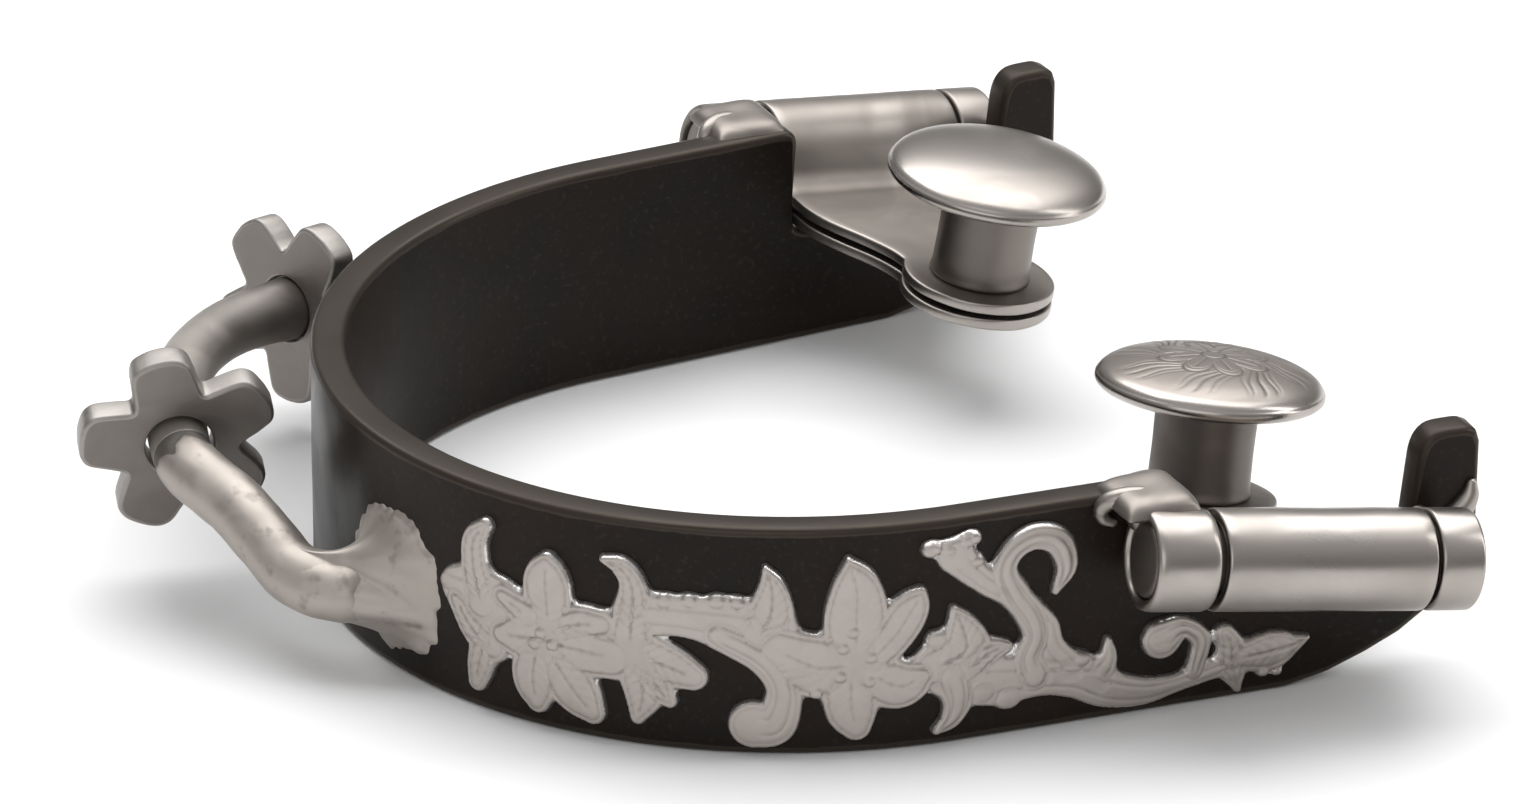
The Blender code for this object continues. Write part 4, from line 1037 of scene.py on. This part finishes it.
# The middle bar is made lighter towards its near end through its silver value.
lighter_towards_near_end = np.pad(np.clip((0.8 - share) / 0.5, 0, 0.8), END_ROWS, mode="edge")[:, None]
middle_bar = bar(middle_way, (BAR_RADIUS - 0.02 + flare)[:, None], BAR_COLUMNS)
make("middle_bar", closed_bar(middle_bar, silver=lighter_towards_near_end), FINISHES["grey"], "frame", ["bumper_bar"])
make_leg("near", whole_way[:near_stop - join_steps + 2])
make_leg("far", whole_way[far_stop + join_steps - 1:][::-1])

# %% [markdown]
# ## The feet
# Where a leg meets the band the braze spreads into a ragged patch. Seen as rings, it
# starts as a wavering outline on the band's face and ends as a circle round the leg. The
# rings move from one to the other: the patch draws in quickly while it lifts slowly, which
# gives the hollow, poured look of a fillet.

# %% Feet of braze
FOOT_HALF = (5.9, 6.2)  # half the patch's length and height
FOOT_SUNK, FOOT_RIM, FOOT_RISE = 0.25, 0.42, 3.0
NECK_SHARE = 0.36
FOOT_HEIGHT = 7.7
NEAR_FOOT_AT = 8.4


def make_foot(side, way, centre):
    """Rings from the outline on the face to a circle round the leg, as k goes from 0 to 1.
    Low rings are drawn flat and bent round the band: their size falls to NECK_SHARE as a
    power of 1 - k, only the lowest are ragged, and they lift by the rim's height at once
    and by the rise as a power of k. High rings blend into circles square to the leg."""
    k = np.linspace(0, 1, 72)[:, None]
    turn = np.linspace(0, 2 * np.pi, 160, endpoint=False)[None]
    uneven = 0.13 * ripple(3 * np.cos(turn), 3 * np.sin(turn), 4.2, 1.0) \
        + 0.07 * ripple(9 * np.cos(turn), 9 * np.sin(turn), 4.0, 2.0)
    size = (1 + uneven * np.exp(-k / 0.09)) * (NECK_SHARE + (1 - NECK_SHARE) * (1 - k) ** 1.7)
    s = centre[0] + FOOT_HALF[0] * size * np.cos(turn)
    z = centre[1] + FOOT_HALF[1] * size * np.sin(turn)
    lift = -FOOT_SUNK + FOOT_RIM * np.clip(k / 0.07, 0, 1) ** 0.5 + FOOT_RISE * k ** 1.8
    lift = lift + 0.05 * ripple(s, z, 4.5, 3.0) * np.clip(k / 0.1, 0, 1)
    flat = on_band(s, z, lift, side)
    row = (0.6 + 6.4 * k[:, 0] ** 1.3) / WAY_STEP
    tangents = unit(np.gradient(way, axis=0))
    middle, along = (np.stack([np.interp(row, np.arange(len(way)), v[:, j]) for j in range(3)], 1)
                     for v in (way, tangents))
    level = unit(np.cross(along, (0.0, 0.0, 1.0)))
    above = np.cross(level, along)
    even = on_band(centre[0] + FOOT_HALF[0] * np.cos(turn[0]),
                   centre[1] + FOOT_HALF[1] * np.sin(turn[0]), 0.0, side)
    even = even - even.mean(0)
    angle = np.arctan2(even @ above[-1], even @ level[-1])[None, :, None]
    spokes = level[:, None] * np.cos(angle) + above[:, None] * np.sin(angle)
    radius = BAR_RADIUS + 0.10 + 1.4 * (1 - k) ** 1.3
    circle = middle[:, None] + radius[..., None] * spokes
    weight = (k * k * (3 - 2 * k))[..., None] ** 0.9
    points = flat * (1 - weight) + circle * weight
    make(f"{side}_foot_braze", closed_bar(points, silver=1.0), FINISHES["braze"], "frame",
         [f"{side}_bar_foot"])


make_foot("near", whole_way, (NEAR_FOOT_AT, FOOT_HEIGHT))
far_way = whole_way[::-1]
make_foot("far", far_way, (float(along_face(far_way[0][0])) - 0.4, FOOT_HEIGHT))

# %% [markdown]
# ## The rowels
# Each rowel is a plate with five blunt lobes, cut with a saw and files and hung loose on
# the bar. Its outline is drawn through a few corners of one lobe and softened, and the
# section runs from the hole, over the flat, round the edge, and back. The record gives
# each rowel's place and the line that it turns on.

# %% Lobed rowels
ROWEL_THICKNESS = 2.4
ROWEL_HOLE = 2.68
LOBES = 5
# Half a lobe's outline: degrees from its middle, radius.
LOBE = [(36, 4.75), (33, 5.0), (26.5, 5.85), (21.5, 6.75), (18, 7.45), (13.5, 7.8), (7, 7.92), (0, 7.95)]
ROWEL_TURN = {"near": 6.0, "far": 45.0}  # degrees, at rest


def rowel_outline(columns=480):
    """All lobes walked once round at an even pace, softened by averaging neighbours."""
    points = []
    for k in range(LOBES):
        middle = 360 / LOBES * k
        half = [(middle - a, r) for a, r in LOBE] + [(middle + a, r) for a, r in LOBE[-2:0:-1]]
        points += [(r * math.cos(math.radians(a)), r * math.sin(math.radians(a))) for a, r in half]
    points = np.array(points + points[:1])
    run = np.concatenate([[0], np.cumsum(np.linalg.norm(np.diff(points, axis=0), axis=1))])
    even = np.linspace(0, run[-1], columns, endpoint=False)
    line = np.stack([np.interp(even, run, points[:, k]) for k in (0, 1)], 1)
    for _ in range(14):
        line = (np.roll(line, 1, 0) + 2 * line + np.roll(line, -1, 0)) / 4
    return line


def make_rowel(side):
    """Rows of the section against columns of the outline: on the flats a point is part of
    the way from the hole to the outline, and on the edge it is moved in by the rounding."""
    axis = unit(np.array(joints[f"{side}_rowel_spin"]["axis"]))
    at = np.array(joints[f"{side}_rowel_spin"]["pos_m"]) / MM
    across = unit(np.cross((0.0, 0.0, 1.0), axis))
    toward = np.cross(axis, across)
    line = rowel_outline()
    step = unit(np.roll(line, -1, 0) - np.roll(line, 1, 0))
    normal = np.stack([step[:, 1], -step[:, 0]], 1)
    hole = unit(line) * ROWEL_HOLE
    half, edge, chamfer = ROWEL_THICKNESS / 2, 0.34, 0.22
    rows, heights, rubs = [], [], []
    turn = np.linspace(0, np.pi / 2, 5)
    for a in turn:
        rows.append(hole * (1 + chamfer * (1 - np.cos(a)) / ROWEL_HOLE))
        heights.append(half - chamfer * (1 - np.sin(a)))
        rubs.append(0.9)
    face_in, face_out = rows[-1], line - normal * edge
    for share in np.linspace(0, 1, 16)[1:-1]:
        rows.append(face_in + (face_out - face_in) * share)
        heights.append(half)
        rubs.append(0.0 if share < 0.95 else 0.3)
    for a in turn:
        rows.append(line - normal * edge * (1 - np.sin(a)))
        heights.append(half - edge * (1 - np.cos(a)))
        rubs.append(1.0)
    rows, heights, rubs = np.array(rows), np.array(heights), np.array(rubs)
    wear = 0.05 * ripple(line[:, 0], line[:, 1], 4.0, 1.0 if side == "near" else 2.6)
    rows = rows + normal * wear[:, None] * (rubs[:, None, None] >= 1.0)
    plan = np.vstack([rows, rows[::-1], rows[:1]])
    level = np.concatenate([heights, -heights[::-1], heights[:1]])
    rub_and_highlight = np.concatenate([rubs, rubs[::-1], rubs[:1]])
    base = math.radians(ROWEL_TURN[side])
    x = plan[..., 0] * math.cos(base) - plan[..., 1] * math.sin(base)
    y = plan[..., 0] * math.sin(base) + plan[..., 1] * math.cos(base)
    points = at + across * x[..., None] + toward * y[..., None] + axis * level[:, None, None]
    make(f"{side}_rowel_lobed", [patch(points, edge=rub_and_highlight[:, None])], FINISHES["grey"],
         f"{side}_rowel_body", [f"{side}_rowel"])


for side in SIDES:
    make_rowel(side)

# %% [markdown]
# ## The overlay
# The flowers and scrolls are one plate of nickel silver, sawn out, modelled with punches
# and gravers, and soldered to the outer arm. It is drawn as strokes: each leaf, petal or
# scroll is a line whose half width changes along it. The depth inside a stroke is its half
# width less the distance to that line, so the deepest value over all strokes is a field
# that is zero along the plate's outline. The plate is the part of a fine flat grid where
# the field is above zero, with its border points moved onto the outline.

# %% The strokes, by how they are worked
OVERLAY = {
    "leaf": [
        [(18.9, 16.0, 0.7), (17.9, 14.4, 1.2), (18.0, 12.0, 1.4), (18.6, 9.5, 1.8)],
        [(16.2, 9.0, 1.0), (17.8, 7.0, 1.4), (19.6, 6.0, 1.4)],
        [(18.1, 2.6, 0.9), (18.4, 4.2, 1.3), (18.9, 6.5, 1.2)],
        [(29.0, 15.6, 0.35), (30.5, 15.1, 0.9), (31.4, 13.4, 1.2), (31.2, 9.0, 1.8)],
        [(36.0, 6.6, 1.25), (34.2, 7.3, 1.8), (31.5, 8.0, 2.2)],
        [(31.8, 2.7, 0.7), (32.2, 4.8, 1.6), (31.6, 7.4, 1.7)],
        [(34.3, 4.3, 0.6), (33.2, 5.6, 1.3), (31.6, 7.8, 1.9)],
        [(41.4, 16.0, 0.3), (41.9, 14.4, 1.1), (41.8, 12.2, 1.8), (41.0, 10.4, 1.8)],
        [(55.8, 11.6, 0.4), (56.5, 9.8, 1.4), (56.6, 8.0, 2.1), (54.4, 7.0, 1.9)],
        [(60.0, 7.8, 0.6), (58.8, 7.6, 1.1), (56.8, 6.4, 1.6)],
        [(78.1, 6.0, 0.8), (78.6, 4.8, 1.1), (78.8, 3.0, 1.2), (79.3, 0.95, 0.35)],
        [(79.4, 3.6, 1.2), (82.0, 3.8, 1.7), (83.6, 4.0, 1.0), (85.0, 4.45, 0.3)]],
    "stem": [
        [(15.4, 10.2, 1.0), (16.7, 10.0, 2.0), (19.5, 9.4, 2.8)],
        [(31.5, 11.4, 1.7), (35.0, 11.5, 1.7), (38.5, 11.2, 2.1), (41.5, 10.6, 2.4)],
        [(55.5, 6.0, 1.8), (59.0, 5.0, 2.1), (63.0, 4.6, 1.6), (66.0, 4.1, 1.8),
         (68.5, 2.7, 1.6), (71.5, 2.0, 1.2), (74.5, 2.3, 0.8), (79.0, 3.2, 0.8)],
        [(60.6, 12.2, 1.1), (58.8, 13.1, 1.05), (57.1, 14.6, 1.2), (55.9, 16.0, 1.5)],
        [(62.2, 10.4, 0.9), (63.4, 9.0, 1.0), (63.9, 7.1, 1.1), (65.4, 5.0, 1.3)],
        [(68.5, 6.9, 0.35), (68.5, 5.4, 0.8), (67.6, 3.8, 1.4)]],
    "scroll": [
        [(38.0, 10.3, 1.3), (41.4, 8.4, 1.5), (42.8, 5.8, 1.4), (42.2, 3.0, 1.8), (40.6, 2.8, 2.0)],
        [(54.5, 1.5, 0.4), (55.7, 2.4, 0.9), (56.2, 4.0, 1.3), (55.8, 6.0, 1.6)],
        [(62.4, 4.9, 1.4), (61.9, 6.5, 1.2), (62.5, 8.3, 1.15), (62.0, 10.1, 1.25), (60.7, 12.1, 1.2),
         (59.9, 14.2, 1.05), (60.6, 15.8, 1.0), (62.3, 16.6, 1.1), (64.2, 15.9, 1.2),
         (64.9, 13.8, 0.95), (64.0, 11.8, 0.35)],
        [(72.9, 6.2, 1.7), (74.6, 7.0, 1.0), (76.1, 5.6, 0.9), (75.6, 3.0, 0.7)]],
    "petal": [
        [(24.4, 14.4, 0.9), (24.4, 12.4, 2.1), (24.6, 9.5, 1.6)],
        [(20.7, 10.6, 1.1), (22.8, 9.6, 1.5)],
        [(28.8, 10.1, 1.3), (27.0, 9.8, 1.6), (24.8, 8.6, 1.4)],
        [(20.6, 7.4, 1.3), (24.0, 7.8, 2.6), (29.6, 7.5, 2.0)],
        [(23.6, 2.5, 1.1), (23.3, 4.4, 2.0), (23.6, 7.0, 1.6)],
        [(28.2, 2.5, 1.1), (26.6, 4.3, 2.1), (24.8, 6.8, 1.6)]],
    "broad petal": [
        [(42.5, 9.2, 1.9), (45.2, 7.8, 2.7), (47.5, 7.8, 2.5)],
        [(47.6, 16.6, 0.35), (48.2, 14.2, 1.9), (48.2, 11.6, 2.5), (48.2, 9.0, 2.2)],
        [(53.1, 13.4, 0.6), (52.3, 12.0, 1.6), (51.2, 10.2, 1.7), (49.4, 8.2, 1.6)],
        [(48.3, 2.6, 1.3), (47.9, 4.2, 2.1), (47.9, 6.8, 2.2)],
        [(53.2, 6.4, 1.2), (51.5, 5.8, 2.1), (49.3, 7.0, 1.9)]],
    "bead": [[(s, z, w), (s + 0.15, z, w)] for s, z, w in (
        (33.7, 12.7, 0.6), (35.6, 12.9, 0.55), (37.7, 13.0, 0.6), (39.2, 13.0, 0.5),
        (53.7, 16.8, 0.55), (57.3, 17.4, 0.5), (57.5, 15.4, 0.5), (54.4, 9.2, 0.8),
        (60.2, 3.4, 1.0), (58.2, 4.2, 0.9), (66.2, 5.6, 0.6), (81.3, 2.0, 0.35), (82.5, 1.9, 0.35),
        (54.1, 16.9, 0.45), (55.3, 16.6, 0.5), (56.7, 17.2, 0.5))],
    "seed": [[(s, z, 0.42), (s + 0.1, z, 0.42)] for s, z in (
        (47.2, 9.3), (49.3, 8.4), (47.0, 6.9), (49.2, 6.4), (45.2, 5.6), (47.9, 10.6),
        (24.0, 8.4), (24.9, 7.6), (23.4, 7.4))],
}
# Height of the ground and of the crown above it, then each groove's place as a share of
# the half width and its depth, the depth of the side veins, and that of the inner outline.
WORKING = {
    "stem": (0.56, 0.14, ((0.42, 0.05),), 0.0, 0.0),
    "leaf": (0.58, 0.18, ((0.0, 0.07),), 0.03, 0.05),
    "scroll": (0.56, 0.24, ((0.35, 0.06),), 0.0, 0.05),
    "petal": (0.62, 0.18, ((0.0, 0.06),), 0.02, 0.07),
    "broad petal": (0.62, 0.22, ((0.0, 0.05),), 0.02, 0.06),
    "bead": (0.58, 0.18, (), 0.0, 0.0),
    "seed": (0.84, 0.11, (), 0.0, 0.0),
}
print("overlay strokes:", sum(len(strokes) for strokes in OVERLAY.values()))

# %% Depth and height of each stroke
CELL = 0.12
GRID_S, GRID_Z = (13.8, 86.0), (0.3, 18.3)  # along the face, and height
CUT_WIDTH = 0.13
OUTLINE_IN, OUTLINE_WIDTH = 0.5, 0.12
VEIN_PITCH, VEIN_SLANT = 0.85, 0.7
EDGE_LOW = 0.22  # the plate's height at its very outline
PLATE_UNDER = -0.12  # the underside sits this far inside the band
EDGE_SOFT = 0.34  # how far in from the outline the edge is rounded
grid_s, grid_z = np.meshgrid(np.arange(*GRID_S, CELL), np.arange(*GRID_Z, CELL), indexing="ij")


def stroke_depth(stroke, s, z):
    """For flat points: depth inside the stroke, share of the way along it, distance to its
    side, and its half width there, all taken at the disc that holds the point deepest."""
    line = smooth_way(stroke, 0.18, measured=2)
    along = unit(np.gradient(line[:, :2], axis=0))
    ds, dz = s[..., None] - line[:, 0], z[..., None] - line[:, 1]
    depth = line[:, 2] - np.hypot(ds, dz)
    best = depth.argmax(-1)[..., None]
    side = np.take_along_axis(ds * along[:, 1] - dz * along[:, 0], best, -1)[..., 0]
    best = best[..., 0]
    return depth.max(-1), best / max(1, len(line) - 1), side, line[best, 2]


def worked_height(working, depth, share, side, half, length):
    """A domed crown over the stroke, less its grooves: narrow bells at the given shares of
    the half width and half a millimetre inside its outline, and side veins that slant
    back from the middle."""
    ground, crown, grooves, veins, outline = working
    inside = np.clip(depth / half, 0, 1)
    dome = np.sqrt(1 - (1 - inside) ** 2)
    cut = np.zeros_like(depth)
    fade = np.clip(np.minimum(share, 1 - share) * length / 0.9, 0, 1)
    for place, deep in grooves:
        cut = cut + deep * fade * np.exp(-(((np.abs(side) - place * half) / CUT_WIDTH) ** 2))
    cut = cut + outline * np.exp(-(((depth - OUTLINE_IN) / OUTLINE_WIDTH) ** 2))
    slant = share * length + np.abs(side) * VEIN_SLANT
    cut = cut + veins * fade * (0.5 + 0.5 * np.cos(2 * np.pi * slant / VEIN_PITCH)) ** 3 * (inside > 0.12)
    return ground + crown * dome - cut, cut


# %% The plate's field, height and cuts
def within(axis, values, margin):
    """Whether each place on an axis is closer than the margin to the span of the values."""
    return np.abs(axis - np.clip(axis, values.min(), values.max())) < margin


field_sum = np.zeros(grid_s.shape)
top = np.zeros(grid_s.shape)
second = np.zeros(grid_s.shape)
cuts = np.zeros(grid_s.shape)
BLEND = 0.30  # how softly neighbouring strokes flow together
for way_worked in WORKING:
    for stroke in OVERLAY[way_worked]:
        points = np.array(stroke)
        margin = points[:, 2].max() + 1.2
        window = np.ix_(within(grid_s[:, 0], points[:, 0], margin), within(grid_z[0], points[:, 1], margin))
        depth, share, side, half = stroke_depth(stroke, grid_s[window], grid_z[window])
        length = np.linalg.norm(np.diff(points[:, :2], axis=0), axis=1).sum()
        height, cut = worked_height(WORKING[way_worked], depth, share, side, half, length)
        if way_worked != "seed":
            field_sum[window] += np.exp(depth / BLEND)
        height = np.where(depth > 0, height, 0)
        above = height > top[window]
        second[window] = np.where(above, top[window], np.maximum(second[window], height))
        cuts[window] = np.where(above, cut, cuts[window])
        top[window] = np.where(above, height, top[window])
field = BLEND * np.log(np.maximum(field_sum, 1e-9))
crease = 0.05 * np.exp(-(((top - second) / 0.05) ** 2)) * (second > 0) * np.clip(field / 0.6, 0, 1)
groove = np.clip((cuts + 0.6 * crease) / 0.09, 0, 1) * np.clip(field / 0.3, 0, 1)
soft = np.clip(field / EDGE_SOFT, 0, 1)
hammered = 0.012 * ripple(grid_s, grid_z, 3.0, 1.0)
relief = EDGE_LOW + (np.maximum(top, 0.45) - crease + hammered - EDGE_LOW) * np.sqrt(1 - (1 - soft) ** 2)
print("relief up to", relief[field > 0].max().round(2), "mm")


# %% The plate as a closed skin
def kept_cells():
    """Cells whose middle lies inside the outline, with a cell added wherever two kept
    cells would touch at one corner only."""
    middle = (field[:-1, :-1] + field[1:, :-1] + field[:-1, 1:] + field[1:, 1:]) / 4
    kept = middle > 0
    for _ in range(3):
        a, b, c, d = kept[:-1, :-1], kept[1:, 1:], kept[1:, :-1], kept[:-1, 1:]
        kept[1:, :-1] |= a & b & ~c & ~d
        kept[:-1, :-1] |= c & d & ~a & ~b
    return kept


def overlay_skin():
    """Top and underside from the kept cells, and a wall along every cell side that has no
    kept neighbour. Border points take one Newton step down the field onto the outline."""
    kept = kept_cells()
    number = np.arange(grid_s.size).reshape(grid_s.shape)
    a, b, c, d = number[:-1, :-1], number[1:, :-1], number[1:, 1:], number[:-1, 1:]
    cells = np.stack([a, b, c, d], -1)[kept]
    padded = np.pad(kept, 1)
    walls = []
    for neighbour, (p, q) in ((padded[1:-1, :-2], (a, b)), (padded[2:, 1:-1], (b, c)),
                              (padded[1:-1, 2:], (c, d)), (padded[:-2, 1:-1], (d, a))):
        open_side = kept & ~neighbour
        walls.append(np.stack([p[open_side], q[open_side]], -1))
    walls = np.vstack(walls)
    slope_s, slope_z = np.gradient(field, CELL)
    steep = np.maximum(slope_s ** 2 + slope_z ** 2, 0.3)
    border = np.zeros(grid_s.size, bool)
    border[walls.ravel()] = True
    border = border.reshape(grid_s.shape)
    step = np.where(border, np.clip(field / steep, -0.9 * CELL, 0.9 * CELL), 0)
    s, z = grid_s - step * slope_s, grid_z - step * slope_z
    height = np.where(border, EDGE_LOW, relief)
    used = np.unique(cells)
    new = np.full(grid_s.size, -1)
    new[used] = np.arange(len(used))
    flat = [v.ravel()[used] for v in (s, z, height)]
    upper = on_band(*flat)
    under = on_band(flat[0], flat[1], PLATE_UNDER)
    n = len(used)
    cells, walls = new[cells], new[walls]
    faces = np.vstack([cells, cells[:, ::-1] + n, np.stack([walls[:, 0], walls[:, 1],
                                                            walls[:, 1] + n, walls[:, 0] + n], -1)])
    # The edge value brightens the outline in the nickel silver: a painted highlight on the rims.
    edge = np.exp(-np.clip(field, 0, None) / 0.22).ravel()[used]
    layers = {"edge": np.concatenate([edge, 0 * edge]),
              "groove": np.concatenate([groove.ravel()[used], np.zeros(n)])}
    return {"points": np.vstack([upper, under]), "faces": faces, "layers": layers}


make("overlay_relief", [overlay_skin()], FINISHES["silver"], "frame", ["floral_overlay"])

# %% [markdown]
# ## The studio
# A pale floor, a large soft light above and behind, a broad fill in front and a strip to
# the side. Polished steel shows whatever is round it, so the surroundings go from a bright
# sky to a dim horizon: that is what draws the dark and bright streaks along the barrels.

# %% Floor and sky
FLOOR_HALF = 3000.0
FLOOR_GAP = 0.03  # the floor lies this far under the spur


def pale_floor():
    """A matt, nearly white surface."""
    made, tree, shader, _ = start_material("pale floor", (0.9, 0.9, 0.9))
    plug(tree, shader, Base_Color=(0.86, 0.86, 0.86, 1), Roughness=0.9, Specular_IOR_Level=0.1)
    return made


corner = np.array([[-1, -1], [1, -1], [1, 1], [-1, 1]]) * FLOOR_HALF * MM
floor_mesh = bpy.data.meshes.new("floor")
floor_mesh.from_pydata([(x, y, cad_box[0][2] - FLOOR_GAP * MM) for x, y in corner], [], [(0, 1, 2, 3)])
floor_mesh.materials.append(pale_floor())
floor = bpy.data.objects.new("floor", floor_mesh)
bpy.context.scene.collection.objects.link(floor)

world = bpy.data.worlds.new("studio")
bpy.context.scene.world = world
world.use_nodes = True
sky = world.node_tree
direction = add_node(sky, "ShaderNodeTexCoord").outputs["Generated"]
rise = add_node(sky, "ShaderNodeSeparateXYZ", {0: direction}).outputs["Z"]
shade = blend(sky, ramp(sky, rise, 0.02, 0.75), (0.20, 0.195, 0.19, 1), (0.56, 0.562, 0.57, 1))
sky.links.new(shade, sky.nodes["Background"].inputs["Color"])
sky.nodes["Background"].inputs["Strength"].default_value = 1.0
print("floor and sky ready")

# %% Lights
# Name, place from the object's middle and size in metres, and power in watts.
LIGHTS = (("overhead", (0.10, 0.25, 0.60), (0.9, 0.7), 6.5),
          ("front fill", (-0.45, -0.60, 0.35), (0.7, 0.5), 1.2),
          ("right strip", (0.60, -0.25, 0.30), (0.12, 0.6), 1.2))


def soft_light(name, place, aim, size, power):
    """A rectangular light at a place, turned towards its aim."""
    lamp = bpy.data.lights.new(name, "AREA")
    lamp.shape = "RECTANGLE"
    lamp.size, lamp.size_y = size
    lamp.energy = power
    made = bpy.data.objects.new(name, lamp)
    bpy.context.scene.collection.objects.link(made)
    place, aim = np.array(place, float), np.array(aim, float)
    back = unit(place - aim)
    right = unit(np.cross((0, 0, 1) if abs(back[2]) < 0.99 else (0, 1, 0), back))
    up = np.cross(back, right)
    made.matrix_world = Matrix([[right[k], up[k], back[k], place[k]] for k in range(3)] + [[0, 0, 0, 1]])
    return made


middle = (np.array(cad_box[0]) + np.array(cad_box[1])) / 2
for name, offset, size, power in LIGHTS:
    soft_light(name, middle + offset, middle, size, power)
print("lights:", [light[0] for light in LIGHTS])

# %% [markdown]
# ## The camera
# A long lens from the decorated side, a little above the heel, as for a small thing laid
# on a table. It is placed by its own three directions so that it has the slight roll of a
# hand-held shot.

# %% Camera
CAMERA_BACK = unit(np.array([-0.3678, -0.8270, 0.4251]))
CAMERA_RIGHT = unit(np.array([0.9137, -0.4064, 0.0]))
CAMERA_AIM = np.array([34.46, 0.0, 12.76]) * MM
CAMERA_DISTANCE = 709.3 * MM
ROLL = math.radians(0.43)
FOCAL_LENGTH, SENSOR_WIDTH = 211.26, 36.0
upwards = np.cross(CAMERA_BACK, CAMERA_RIGHT)
right = math.cos(ROLL) * CAMERA_RIGHT + math.sin(ROLL) * upwards
upwards = np.cross(CAMERA_BACK, right)
lens = bpy.data.cameras.new("camera")
lens.lens, lens.sensor_width = FOCAL_LENGTH, SENSOR_WIDTH
lens.clip_start, lens.clip_end = 0.05, 20.0
camera = bpy.data.objects.new("camera", lens)
place = CAMERA_AIM + CAMERA_BACK * CAMERA_DISTANCE
camera.matrix_world = Matrix([[right[k], upwards[k], CAMERA_BACK[k], place[k]] for k in range(3)]
                             + [[0, 0, 0, 1]])
bpy.context.scene.collection.objects.link(camera)
bpy.context.scene.camera = camera
bpy.context.scene.view_settings.view_transform = "Standard"
print("camera at", place.round(3))
